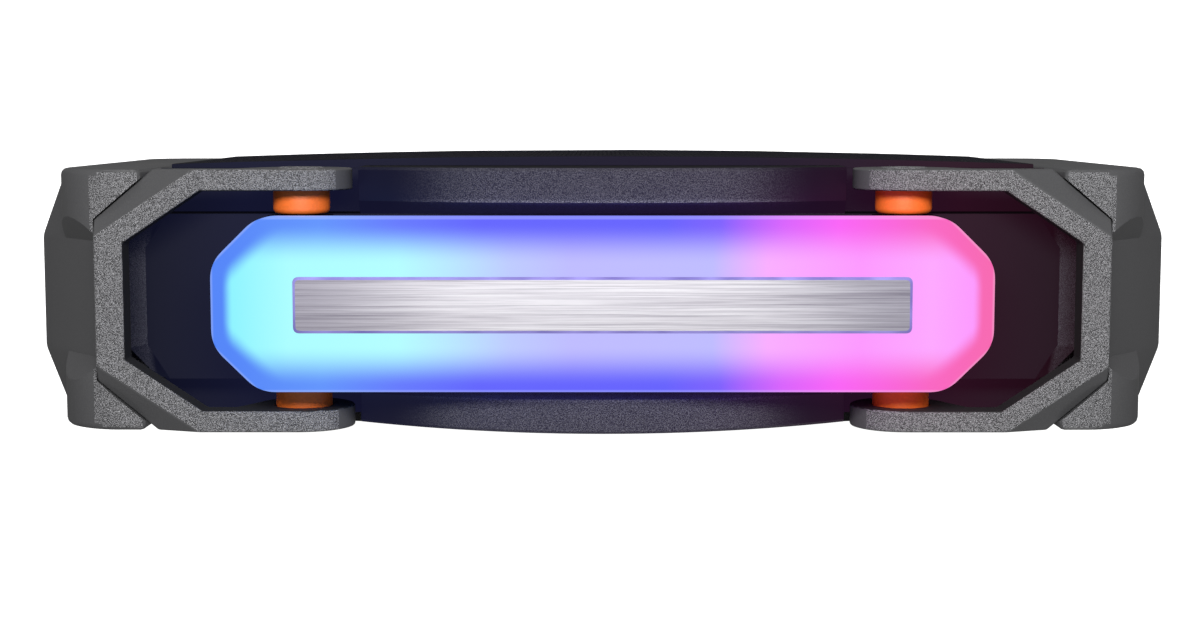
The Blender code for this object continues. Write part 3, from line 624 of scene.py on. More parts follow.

# %% [markdown]
# ## The brushed plate
#
# A thin aluminium plate lies on the light. Its brushing is a noise squeezed across the plate and
# stretched along it: the same pattern drives colour, roughness and a tiny bump, so each streak is
# dark, rough and low at once. Towards both ends its colour is painted darker, a painted reflection
# that leaves it bright in the middle. Its edge is a clear bevelled frame that picks up the lamps'
# violet, painted in as its colour and a weak glow.

# %% Brushed plate


def brushed_finish():
    finish = Finish("brushed_aluminium", (0.78, 0.77, 0.80), 0.34, metallic=1.0)
    streaks = finish.noise(1.0, detail=5.0, roughness=0.62, stretch=(14, 1500, 1))
    broad = finish.noise(1.0, detail=2.0, stretch=(5, 420, 1))
    mixed = finish.math("ADD", finish.math("MULTIPLY", streaks, 0.7), finish.math("MULTIPLY", broad, 0.3))
    shade = finish.ramp(mixed, [(0.36, byte_colour(162, 158, 168)), (0.62, byte_colour(240, 238, 244))])
    # Painted reflection: the colour is darker towards both ends and bright in the middle.
    split = finish.node("ShaderNodeSeparateXYZ", {"Vector": finish.place()})
    across = finish.math("ABSOLUTE", split.outputs["X"])
    reflection_falloff = finish.smoothstep(across, 0.060, 0.160)
    fade = finish.ramp(reflection_falloff, [(0.0, (1.0, 1.0, 1.0)), (1.0, (0.56, 0.55, 0.60))])
    finish.feed(finish.shader.inputs["Base Color"], finish.mix(1.0, shade, fade, "MULTIPLY"))
    rough = finish.math("MULTIPLY_ADD", mixed, -0.22, 0.52)
    finish.feed(finish.shader.inputs["Roughness"], rough)
    finish.bump(mixed, 0.5, 0.00003)
    return finish.material


def frame_finish():
    # Painted lamp light: the violet colour and the weak glow stand for the lamps' light shining through the
    # clear frame.
    finish = Finish("plate_frame_lamp_glow", byte_colour(126, 118, 186), 0.30)
    soft = finish.noise(60, detail=1.0)
    shade = finish.ramp(soft, [(0.3, byte_colour(108, 100, 166)), (0.7, byte_colour(140, 132, 200))])
    finish.feed(finish.shader.inputs["Base Color"], shade)
    finish.feed(finish.shader.inputs["Emission Color"], shade)
    finish.set("Emission Strength", 0.30)
    return finish.material


brushed = brushed_finish()
plate_frame_lamp_glow = frame_finish()


def make_plate():
    inset = 1.4 * MM
    x, y = plate_high.x, plate_high.y
    corners = [(x, y), (-x, y), (-x, -y), (x, -y)]
    low, high = plate_low.z, plate_high.z
    base = [(u, v, low) for u, v in rounded(corners, 3.2 * MM, 6)]
    wide = [(u, v, high - 1.0 * MM) for u, v in rounded(corners, 3.2 * MM, 6)]
    inner = [(u - math.copysign(inset, u), v - math.copysign(inset, v)) for u, v in corners]
    top = [(u, v, high) for u, v in rounded(inner, 2.2 * MM, 6)]
    plate = loft("brushed_plate_top", [base, wide, top])
    dress(plate, brushed, "cabinet", "brushed_aluminium", "brushed_plate")
    plate.data.materials.append(plate_frame_lamp_glow)
    for face in plate.data.polygons:
        if face.normal.z < 0.95:
            face.material_index = 1
    return plate


make_plate()
print("plate at", round(plate_high.z, 4))

# %% [markdown]
# ## The carry handles
#
# Each handle is one C-shaped bail. Seen from above it is a band with cut corners; seen from the side
# its arms end in round lugs, centred on the orange bushes. So it is made the way it would be milled:
# a loft over the plan gives the band and its sloping outer corners, and a prism of the side view
# trims it. Seats for the bush and the bolt cap are cut last, and every edge is rounded.

# %% Handles
ARM_OUT = handle_high.y
BUSH_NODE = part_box("pivot_bush_rear_right")
BUSH_R = (BUSH_NODE[1].z - BUSH_NODE[0].z) / 2
BUSH_NEAR = BUSH_NODE[0].y
BUSH_FAR = BUSH_NODE[1].y
BOLT_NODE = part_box("pivot_bolt_rear_right")
CAP_R = (BOLT_NODE[1].z - BOLT_NODE[0].z) / 2
ARM_IN = BUSH_FAR - 3.7 * MM
ARM_BACK = 0.118        # behind the lugs, where the side view trims the arms
BAND_IN = [(ARM_BACK, ARM_IN), (0.2055, ARM_IN), (0.245, 0.030)]
BAND_TOP = [(ARM_BACK, ARM_OUT), (0.2076, ARM_OUT), (0.2598, 0.0332)]
BAND_LOW = [(ARM_BACK, ARM_OUT), (0.2304, ARM_OUT), (0.2612, 0.0416)]
ARM_LOW = pivot.z + 10.5 * MM
CHAMFER_Z = 0.2545      # height where the outer corners start to slope in
BOLT_R = 4.0 * MM
CAP_SINK = 3.5 * MM
STEEP, LEVEL = 0.63, 0.97  # upward part of a face's normal: below the first steep, above the second level


def band_ring(outer, z):
    half = [(x, y, z) for x, y in outer]
    other = [(x, -y, z) for x, y in reversed(outer)]
    back_side = [(x, -y, z) for x, y in BAND_IN]
    forth = [(x, y, z) for x, y in reversed(BAND_IN)]
    return half + other + back_side + forth


def side_view():
    points = arc((pivot.x, pivot.z), LUG_R, 90, 270, 40)
    points += arc((pivot.x, pivot.z), LUG_R, 275, 345, 14)
    return points + [(pivot.x + 0.034, ARM_LOW), (0.290, ARM_LOW), (0.290, handle_high.z)]


def make_handle(side_name, side):
    rings = [
        band_ring(BAND_LOW, pivot.z - LUG_R - 4 * MM),
        band_ring(BAND_LOW, CHAMFER_Z),
        band_ring(BAND_TOP, handle_high.z),
    ]
    handle = loft("handle_bail_" + side_name, rings)
    boolean(handle, outline("side_view", side_view(), -0.09, 0.09, "XZ"), "INTERSECT")
    for end in ENDS.values():
        cuts = [
            (BUSH_R + AIR, ARM_IN - 10 * MM, BUSH_FAR + AIR),
            (CAP_R + AIR, ARM_OUT - CAP_SINK, ARM_OUT + 10 * MM),
            (BOLT_R + AIR, ARM_IN - 10 * MM, ARM_OUT + 10 * MM),
        ]
        for radius, near, far in cuts:
            low, high = sorted((end * near, end * far))
            boolean(handle, rod("seat", radius, pivot.x, pivot.z, low, high))
    settle(handle)
    if side < 0:
        turn_round(handle)
    round_edges(handle, 1.1 * MM, segments=3)
    dress(handle, grey_plastic, "handle_" + side_name, "grey_grained_plastic", "handle_" + side_name)
    handle.data.materials.append(black_rubber)
    handle.data.materials.append(grey_with_painted_shade)
    hand = Vector((side * 0.19, 0, handle_high.z))
    for face in handle.data.polygons:
        level = abs(face.normal.z) < 0.1
        inward = face.normal.dot(hand - face.center) > 0 and abs(face.center.y) < ARM_IN + 0.1 * MM
        if level and inward:
            face.material_index = 1
        # Faces that lean away from straight up take the darker grey: painted shade.
        elif face.normal.z < STEEP or (abs(face.normal.y) > 0.12 and face.normal.z < LEVEL):
            face.material_index = 2
    return handle


for side_name, side in SIDES.items():
    make_handle(side_name, side)
print("handles with arms", round(1000 * (ARM_OUT - ARM_IN), 1), "mm thick")

# %% [markdown]
# ## Bushes and bolts
#
# A bush is the soft sleeve that a pivot turns in. These are orange, with generous round shoulders,
# so they are turned profiles whose corners are arcs. The bolt caps outside are shallow turned discs
# with a recess for a hexagon key.

# %% Bushes and bolts


def make_bush(end_name, end, side_name, side):
    shoulder = 3.0 * MM
    hidden = 1.2 * MM
    core = BOLT_R + AIR
    profile = [(core, BUSH_FAR)]
    profile += arc((BUSH_R - hidden, BUSH_FAR - hidden), hidden, 90, 0, 4)
    profile += arc((BUSH_R - shoulder, BUSH_NEAR + shoulder), shoulder, 0, -90, 10)
    profile += [(core, BUSH_NEAR)]
    place = (side * pivot.x, 0, pivot.z)
    name = "%s_%s" % (end_name, side_name)
    bush = turned("bush_" + name, profile, place, end, closed=True)
    return dress(bush, orange_rubber, "cabinet", "orange_rubber", "pivot_bush_" + name)


def make_bolt(end_name, end, side_name, side):
    head = BOLT_NODE[1].y
    seat = ARM_OUT - CAP_SINK + AIR
    key_r, key_floor = 3.6 * MM, head - 2.2 * MM
    edge = 1.0 * MM
    profile = [(0.0, key_floor), (key_r, key_floor), (key_r, head - AIR), (BOLT_R, head)]
    profile += arc((CAP_R - edge, head - edge), edge, 90, 0, 5)
    profile += [(CAP_R, seat), (BOLT_R, seat), (BOLT_R, BOLT_NODE[0].y), (0.0, BOLT_NODE[0].y)]
    place = (side * pivot.x, 0, pivot.z)
    name = "%s_%s" % (end_name, side_name)
    bolt = turned("bolt_" + name, profile, place, end)
    return dress(bolt, grey_plastic, "cabinet", "grey_grained_plastic", "pivot_bolt_" + name)


for side_name, side in SIDES.items():
    for end_name, end in ENDS.items():
        make_bush(end_name, end, side_name, side)
        make_bolt(end_name, end, side_name, side)
print("bush radius", round(1000 * BUSH_R, 1), "mm")

# %% [markdown]
# ## The end guards
#
# The guards take the knocks. Each has two corner posts, rounded as one cylinder about a front-to-back
# axis, and a faceted pad between them that stands out furthest. The posts are one prism of the front
# view. Two channels with leaning sides clear the space over the pad's slopes, the pad itself is a loft
# through five knees, and a pocket makes room for the folded handle.

# %% End guards
TURRET_Y = 0.0436
GUARD_X = guard_high.x
GUARD_IN = guard_low.x
GUARD_LOW = guard_low.z
PAD_FLAT_Y = 0.0305
PAD_SHOULDER_Y = 0.0625
PAD_CORNER_Y = 0.0668
PAD_SLANT = 0.0120
PAD_TOP = (0.2635, 0.248)
PAD_EDGE = (GUARD_X, 0.196)
PAD_BOTTOM = (0.264, GUARD_LOW)
PAD_LOW_EDGE = (GUARD_X - 3 * MM, 0.062)
POST_X = 0.285
POST_Y = guard_high.y
POST_TOP = guard_high.z
POST_ROUND = 0.035
POST_LOW_ROUND = 0.028


def post_profile():
    bottom = arc((POST_X - POST_LOW_ROUND, GUARD_LOW + POST_LOW_ROUND), POST_LOW_ROUND, -90, 0, 16)
    top = arc((POST_X - POST_ROUND, POST_TOP - POST_ROUND), POST_ROUND, 0, 90, 24)
    return bottom + top + [(GUARD_IN, POST_TOP), (GUARD_IN, GUARD_LOW)]


def both_halves(half):
    return half + [(x, -y) for x, y in reversed(half)]


def pad_ring(reach, z):
    shoulder = reach - PAD_SLANT
    corner = min(shoulder - 2.0 * MM, POST_X - 0.5 * MM)
    half = [(GUARD_IN, PAD_CORNER_Y), (corner, PAD_CORNER_Y), (shoulder, PAD_SHOULDER_Y), (reach, PAD_FLAT_Y)]
    return [(x, y, z) for x, y in both_halves(half)]


def pad_channel(edge, foot):
    """Room above a sloping face of the pad. Its two sides lean outwards."""
    floor_y, mouth_y = PAD_FLAT_Y - 1.5 * MM, 0.080
    sink, height = -1 * MM, 0.034
    before, past = 14 * MM, 20 * MM
    start, stop = (Vector((x, 0, z)) for x, z in (edge, foot))
    run = (stop - start).normalized()
    lift = Vector((abs(run.z), 0, math.copysign(run.x, -run.z)))
    rings = []
    for place in (start - before * run, stop + past * run):
        ring = []
        for y, rise in ((-floor_y, sink), (floor_y, sink), (mouth_y, height), (-mouth_y, height)):
            spot = place + rise * lift
            ring.append((spot.x, y, spot.z))
        rings.append(ring)
    return loft("pad_channel", rings)


def pocket_plan(room=0.4 * MM):
    """Plan of the folded handle's outer side, a little larger."""
    shoulder_x = BAND_LOW[1][0]
    corner_x, corner_y = BAND_LOW[2]
    wide = ARM_OUT + room
    return both_halves([(0.100, wide), (shoulder_x, wide), (corner_x + room, corner_y + 0.4 * room)])


def make_guard(side_name, side):
    guard = pre_round(outline("guard_" + side_name, post_profile(), -POST_Y, POST_Y, "XZ"), 3.5 * MM)
    boolean(guard, pad_channel(PAD_TOP, PAD_EDGE))
    boolean(guard, pad_channel(PAD_BOTTOM, PAD_LOW_EDGE))
    knees = (PAD_BOTTOM, PAD_LOW_EDGE, (GUARD_X, 0.110), PAD_EDGE, PAD_TOP)
    pad = pre_round(loft("pad", [pad_ring(reach, z) for reach, z in knees]), 2.0 * MM, angle=15)
    boolean(guard, pad, "UNION")
    boolean(guard, outline("pocket", pocket_plan(), ARM_LOW - 1 * MM, 0.300))
    seat_y = TURRET_Y + 1 * MM
    boolean(guard, block("seat", (0.2, -seat_y, shell_high.z), (casing_high.x + 1 * MM, seat_y, 0.3)))
    settle(guard)
    if side < 0:
        turn_round(guard)
    round_edges(guard, 0.8 * MM, segments=2, angle=30)
    dress(guard, grey_plastic, "cabinet", "grey_grained_plastic", "end_guard_" + side_name)
    guard.data.materials.append(grey_with_painted_shade)
    # Faces that don't face straight up take the darker grey: painted shade.
    painted_shade_limit = 0.93
    for face in guard.data.polygons:
        if face.normal.z < painted_shade_limit:
            face.material_index = 1
    return guard


for side_name, side in SIDES.items():
    make_guard(side_name, side)
print("guards reach", round(1000 * GUARD_X), "mm")

# %% [markdown]
# ## The black top casing
#
# Under the light lies the casing that joins everything: a flat plateau with sloped ends, a pair of
# arched rim strips along the front and back, and a narrow ledge over the grille. Each part is a loft
# or a block, joined by Boolean unions, and all edges are rounded together.
#
# Its three finishes share one idea. The light's colour falling on the black is painted in as a weak
# glow along the length of the speaker, blue at one end and wine red at the other. On upright walls the
# painted glow fades below the top edge, and on the rims and end slopes a pale grain is painted in as a
# highlight.

# %% Top casing
TURRET_X = 0.240
SLOPE_X = casing_high.x
RIM_X = 0.1270
RIM_RISE = 0.026
RIM_Y = casing_high.y
RIM_TOP = casing_high.z
RIM_END_Y = 0.0657      # how far out the front rim reaches at its ends
CREASE_Y = 0.0505       # where the rim's top breaks down towards the plateau
# The light's colour is painted on the black as a weak glow, at this strength.
PAINTED_GLOW_STRENGTH = 0.8              # strength of the light's colour on the black


def arch(x, half, rise):
    return rise * (1 - (x / half) ** 2)


def rim_section(x, end):
    top = RIM_TOP - RIM_RISE + arch(x, RIM_X, RIM_RISE)
    outer = RIM_Y
    if end > 0:
        outer = RIM_END_Y + arch(x, RIM_X, RIM_Y - RIM_END_Y)
    foot = casing_low.z + 1 * MM
    section = [
        (outer, foot),
        (outer, top - 1.5 * MM),
        (outer - 1.5 * MM, top),
        (CREASE_Y, top - 2 * MM),
        (TURRET_Y - 0.2 * MM, PLATEAU_Z - 1 * MM),
        (TURRET_Y - 5 * MM, foot),
    ]
    return [(x, end * y, z) for y, z in section]


def turret_ring(corner, z):
    one_side = corner + [(-x, y) for x, y in reversed(corner)]
    return [(x, y, z) for x, y in one_side + [(x, -y) for x, y in reversed(one_side)]]


def painted_glow_black(name):
    """Finish and split place of a smooth black with the light's colour painted on as a glow, blue at the cyan
    end and wine red at the pink end.
    """
    finish = Finish(name, (0.004, 0.004, 0.006), 0.50, specular=0.05)
    split = finish.node("ShaderNodeSeparateXYZ", {"Vector": finish.place()})
    along = finish.math("ADD", finish.math("MULTIPLY", split.outputs["X"], -0.5 / SLOPE_X), 0.5)
    stops = [
        (0.00, byte_colour(16, 18, 34)),
        (0.12, byte_colour(22, 24, 52)),
        (0.35, byte_colour(22, 21, 46)),
        (0.65, byte_colour(28, 16, 42)),
        (0.88, byte_colour(48, 16, 34)),
        (1.00, byte_colour(34, 12, 22)),
    ]
    finish.feed(finish.shader.inputs["Emission Color"], finish.ramp(along, stops))
    finish.set("Emission Strength", PAINTED_GLOW_STRENGTH)
    finish.bump(finish.noise(2200), 0.4, 0.00002)
    return finish, split


def painted_glow_wall(name):
    """The same black on an upright wall, where the painted glow of the light only reaches the upper edge."""
    finish, split = painted_glow_black(name)
    reached = finish.smoothstep(split.outputs["Z"], RIM_TOP - 16 * MM, RIM_TOP)
    finish.feed(finish.shader.inputs["Emission Strength"], finish.math("MULTIPLY", reached, PAINTED_GLOW_STRENGTH))
    return finish.material


def highlight_grain_finish(name):
    """Black with the painted glow and a pale grain painted in as a highlight: in the middle of the rim
    strips, brighter along their crease, and on the end slopes.
    """
    finish, split = painted_glow_black(name)
    across = finish.math("ABSOLUTE", split.outputs["X"])
    outward = finish.math("ABSOLUTE", split.outputs["Y"])
    # Painted highlight: the pale grain is brightest in the middle of the rims, twice as bright along their
    # crease, and strong on the end slopes.
    middle = finish.math("SUBTRACT", 1.0, finish.smoothstep(across, 0.050, 0.112))
    ends = finish.math("MULTIPLY", finish.smoothstep(across, 0.236, 0.241), 1.7)
    highlight_mask = finish.math("ADD", middle, ends)
    from_crease = finish.math("ABSOLUTE", finish.math("SUBTRACT", outward, CREASE_Y))
    crease = finish.math("SUBTRACT", 1.0, finish.smoothstep(from_crease, 0.0004, 0.0022))
    grain = finish.noise(1900, detail=2.0, roughness=0.6)
    speckle = finish.ramp(grain, [(0.43, (0.010, 0.010, 0.014)), (0.60, (0.096, 0.094, 0.108))])
    lifted = finish.math("MULTIPLY", highlight_mask, finish.math("ADD", crease, 1.0))
    finish.feed(finish.shader.inputs["Base Color"], finish.mix(1.0, speckle, lifted, "MULTIPLY"))
    finish.set("Roughness", 0.34)
    finish.set("Specular IOR Level", 0.20)
    bump = finish.bump(grain, 1.0, 0.0006)
    finish.feed(bump.inputs["Strength"], highlight_mask)
    return finish.material


glow_painted_black = painted_glow_black("painted_glow_black")[0].material


def make_casing():
    low = casing_low.z
    ledge_high = (shell_high.x, 65 * MM, low + 4 * MM)
    casing = block("casing", (-shell_high.x, casing_low.y + 1.4 * MM, low), ledge_high)
    plateau = [(TURRET_X, 25.4 * MM), (TURRET_X - 11.5 * MM, TURRET_Y)]
    skirt = [(SLOPE_X, 28.5 * MM), (TURRET_X - 2 * MM, TURRET_Y)]
    slope_foot = PLATEAU_Z - 12 * MM
    rings = [turret_ring(skirt, low), turret_ring(skirt, slope_foot), turret_ring(plateau, PLATEAU_Z)]
    boolean(casing, loft("turret", rings), "UNION")
    for end in ENDS.values():
        stations = [-RIM_X + 2 * RIM_X * i / 24 for i in range(25)]
        boolean(casing, loft("rim", [rim_section(x, end) for x in stations]), "UNION")
        for side in SIDES.values():
            near, far = sorted((end * 31 * MM, end * (TURRET_Y - AIR)))
            x, half = side * pivot.x, 16 * MM
            boss = block("boss", (x - half, near, PLATEAU_Z - 6 * MM), (x + half, far, pivot.z + half))
            boolean(casing, boss, "UNION")
    for end in ENDS.values():
        for side in SIDES.values():
            near, far = sorted((end * 35 * MM, end * 100 * MM))
            boolean(casing, rod("bore", BOLT_R + AIR, side * pivot.x, pivot.z, near, far, 24))
    hollow_low = (-TURRET_X + 12 * MM, -TURRET_Y + 8 * MM, low - 4 * MM)
    hollow_high = (TURRET_X - 12 * MM, TURRET_Y - 8 * MM, PLATEAU_Z - 4 * MM)
    boolean(casing, block("hollow", hollow_low, hollow_high))
    settle(casing)
    round_edges(casing, 0.9 * MM, segments=2)
    dress(casing, highlight_grain_finish("black_painted_highlight_grain"), "cabinet", "black_grained_plastic", "top_casing")
    casing.data.materials.append(glow_painted_black)
    casing.data.materials.append(painted_glow_wall("painted_glow_black_wall"))
    # Plateau and ledge take the black with the painted glow, upright walls the version whose painted glow
    # fades downwards, and the rest the grain with painted highlights.
    for face in casing.data.polygons:
        on_plateau = face.normal.z > 0.97 and abs(face.center.y) < TURRET_Y
        on_wall = face.normal.z < 0.2 and abs(face.center.x) < TURRET_X - 0.02
        on_ledge = face.center.z < low + 6 * MM and face.normal.z > 0.9
        if on_plateau or on_ledge:
            face.material_index = 1
        elif on_wall:
            face.material_index = 2
    return casing


make_casing()
print("casing plateau at", round(PLATEAU_Z, 4))

# %% [markdown]
# ## The cabinet and the front baffle
#
# The cabinet is a box open at the front, and the baffle is the board that closes it and carries the
# loudspeakers. The cabinet is a block hollowed by a smaller block, and the baffle is a block with
# round cutters for the woofers and tweeters.

# %% Cabinet and baffle
WALL = 4 * MM
basket_low, basket_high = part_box("woofer_basket_right")
tweeter_low, tweeter_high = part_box("tweeter_right")
WOOFER_X = (basket_low.x + basket_high.x) / 2
WOOFER_Z = (basket_low.z + basket_high.z) / 2
TWEETER_X = (tweeter_low.x + tweeter_high.x) / 2
TWEETER_Z = (tweeter_low.z + tweeter_high.z) / 2
BAFFLE_FRONT = baffle_low.y
BASKET_R = (basket_high.x - basket_low.x) / 2
TWEETER_R = (tweeter_high.x - tweeter_low.x) / 2
WOOFER_HOLE_R = 73.5 * MM


def make_cabinet():
    shell = block("cabinet_box", shell_low, shell_high)
    inside_low = shell_low + Vector((WALL, -WALL, WALL))
    inside_high = shell_high - Vector((WALL, -WALL, WALL))
    boolean(shell, block("inside", inside_low, inside_high))
    settle(shell)
    round_edges(shell, 0.8 * MM, segments=2)
    return dress(shell, black_plastic, "cabinet", "black_grained_plastic", "cabinet_shell")


def make_baffle():
    baffle = block("baffle_board", baffle_low, baffle_high)
    near, far = baffle_low.y - WALL, baffle_high.y + WALL
    for side in SIDES.values():
        boolean(baffle, rod("woofer_hole", WOOFER_HOLE_R, side * WOOFER_X, WOOFER_Z, near, far, 96))
        boolean(baffle, rod("tweeter_hole", TWEETER_R - 3.7 * MM, side * TWEETER_X, TWEETER_Z, near, far, 64))
    settle(baffle)
    round_edges(baffle, 0.6 * MM, segments=2)
    return dress(baffle, smooth_black, "cabinet", "black_grained_plastic", "front_baffle")


make_cabinet()
make_baffle()
print("woofers at", round(WOOFER_X, 3), "tweeters at", round(TWEETER_X, 3))

# %% [markdown]
# ## The steel grille
#
# A grille like this is a punched sheet, bent to a shallow curve and welded to a folded rim. The sheet is
# a honeycomb: each cell is a ring of six quads between its outer hexagon and its hole, and neighbours
# share corners. The corners are placed on the curve directly, so nothing has to be bent afterwards. A
# Solidify modifier gives the steel its thickness.

# %% Grille
GRILLE_HALF = grille_high.x
GRILLE_EDGE_Y = -68.8 * MM
GRILLE_BULGE = GRILLE_EDGE_Y - grille_low.y
STEEL = 1.4 * MM
BORDER = 7 * MM
PITCH = 5.0 * MM
HOLE_SHARE = 0.72
strip_low, strip_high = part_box("control_strip")


def bulged_plan(half, flat_y, edge_y, middle_y, steps=48):
    points = [(half, flat_y), (-half, flat_y)]
    for i in range(steps + 1):
        x = -half + 2 * half * i / steps
        points.append((x, edge_y + arch(x, half, middle_y - edge_y)))
    return points


def sheet_y(x):
    return GRILLE_EDGE_Y + 0.5 * MM - arch(x, GRILLE_HALF, GRILLE_BULGE)


def cell_centres():
    """Centres of the honeycomb cells, leaving out those behind the control strip."""
    corner = PITCH / math.sqrt(3)
    rows = int((grille_high.z - grille_low.z - 2 * STEEL) / (1.5 * corner))
    columns = int(2 * GRILLE_HALF / PITCH) - 1
    for row in range(rows):
        z = grille_low.z + STEEL + corner + 1.5 * corner * row
        for column in range(columns):
            x = (column - (columns - 1) / 2 + (0.25 if row % 2 else -0.25)) * PITCH
            behind_strip = abs(x) < strip_high.x + PITCH / 2 and z < strip_high.z + PITCH / 2
            if not behind_strip:
                yield x, z


def make_sheet():
    bm = bmesh.new()
    shared = {}

    def corner_vert(x, z):
        key = (round(x / MM, 2), round(z / MM, 2))
        if key not in shared:
            shared[key] = bm.verts.new((x, sheet_y(x), z))
        return shared[key]

    radius = PITCH / math.sqrt(3)
    for x, z in cell_centres():
        outer, inner = [], []
        for k in range(6):
            a = math.radians(30 + 60 * k)
            outer.append(corner_vert(x + radius * math.cos(a), z + radius * math.sin(a)))
            u, w = x + HOLE_SHARE * radius * math.cos(a), z + HOLE_SHARE * radius * math.sin(a)
            inner.append(bm.verts.new((u, sheet_y(u), w)))
        for k in range(6):
            j = (k + 1) % 6
            bm.faces.new((outer[k], outer[j], inner[j], inner[k]))
    bmesh.ops.recalc_face_normals(bm, faces=bm.faces)
    sheet = object_from(bm, "grille_sheet")
    solid = sheet.modifiers.new("steel", "SOLIDIFY")
    solid.thickness = 0.8 * MM
    solid.offset = 0
    return dress(sheet, grille_black, "cabinet", "black_painted_steel", "front_grille")


def make_grille_rim():
    low, high = grille_low.z, grille_high.z
    back = grille_high.y
    edge, middle = GRILLE_EDGE_Y, grille_low.y
    rim = outline("grille_rim", bulged_plan(GRILLE_HALF, back, edge, middle), low, high)
    hollow = bulged_plan(GRILLE_HALF - STEEL, back + WALL, edge + STEEL, middle + STEEL)
    boolean(rim, outline("hollow", hollow, low + STEEL, high - STEEL))
    reach = strip_high.x + BORDER
    strip_top = strip_high.z + BORDER
    plan = [
        (BORDER - GRILLE_HALF, low + BORDER),
        (-reach, low + BORDER),
        (-reach, strip_top),
        (reach, strip_top),
        (reach, low + BORDER),
        (GRILLE_HALF - BORDER, low + BORDER),
        (GRILLE_HALF - BORDER, high - BORDER),
        (BORDER - GRILLE_HALF, high - BORDER),
    ]
    boolean(rim, outline("opening", rounded(plan, 3 * MM), -(edge + 2 * MM), 0.1, "XZ"))
    gap = 0.3 * MM
    window = (strip_high.x + gap, strip_low.z - gap, strip_high.z + gap)
    boolean(rim, block("window", (-window[0], -0.1, window[1]), (window[0], back - STEEL, window[2])))
    settle(rim)
    round_edges(rim, 0.5 * MM, segments=2)
    dress(rim, grille_black, "cabinet", "black_painted_steel")
    rim.data.materials.append(glow_painted_black)
    # Faces that look up take the black with the painted glow of the light.
    for face in rim.data.polygons:
        if face.normal.z > 0.15:
            face.material_index = 1
    return rim


make_sheet()
make_grille_rim()
print("grille holes:", sum(1 for _ in cell_centres()))

# %% [markdown]
# ## Woofers and tweeters
#
# Loudspeakers are turned pieces. A woofer is a steel basket, a magnet, a rubber half-roll surround and a
# paper cone with a dust cap. The basket's windows are cut between its spokes, so that the cone's back
# can breathe. A tweeter is a small dome in a flared plate. Heights are measured forward from the baffle.

# %% Woofers


def quarter_turn(steps):
    return [math.pi / 2 * i / steps for i in range(steps + 1)]


def half_roll(middle, rise, width, height, thick, steps=16):
    """Closed section of a rubber half-roll."""
    outside, inside = [], []
    for i in range(steps + 1):
        a = math.pi * i / steps
        outside.append((middle - width * math.cos(a), rise + height * math.sin(a)))
        inside.append((middle + (width - thick) * math.cos(a), rise + (height - thick) * math.sin(a)))
    return outside + inside


def spin_about_z(bm, geometry, steps):
    whole = 2 * math.pi
    bmesh.ops.spin(bm, geom=geometry, axis=(0, 0, 1), angle=whole, steps=steps, use_merge=True)


def screw_ring(name, radius, count, centre, face_y, facing, turn=0.0, head=2.2 * MM, proud=0.5 * MM):
    """Screw heads evenly round a circle about Y, as one piece."""
    places = []
    for k in range(count):
        a = math.radians(turn + 360 * k / count)
        places.append((centre[0] + radius * math.cos(a), face_y, centre[1] + radius * math.sin(a)))
    return screws(name, places, facing, head, proud)


def screws(name, places, facing, head=2.2 * MM, proud=0.5 * MM):
    """Screw heads with a round recess, as one piece that faces -Y or +Y."""
    bm = bmesh.new()
    profile = [(0.0, proud - 0.9 * MM), (0.45 * head, proud - 0.9 * MM), (0.45 * head, proud)]
    profile += [(0.8 * head, proud), (head, proud - 0.4 * MM), (head, -0.3 * MM), (0.0, -0.3 * MM)]
    for place in places:
        verts = [bm.verts.new((radius, 0.0, height)) for radius, height in profile]
        edges = [bm.edges.new((a, b)) for a, b in zip(verts, verts[1:])]
        spin_about_z(bm, verts + edges, 24)
        turn = Matrix.Translation(place) @ Matrix.Rotation(math.radians(-90 * facing), 4, "X")
        fresh = [v for v in bm.verts if not v.tag]
        bmesh.ops.transform(bm, matrix=turn, verts=fresh)
        for v in fresh:
            v.tag = True
    bmesh.ops.remove_doubles(bm, verts=bm.verts, dist=0.000005)
    bmesh.ops.recalc_face_normals(bm, faces=bm.faces)
    made = smooth(object_from(bm, name))
    return dress(made, dark_metal, "cabinet", "dark_metal")


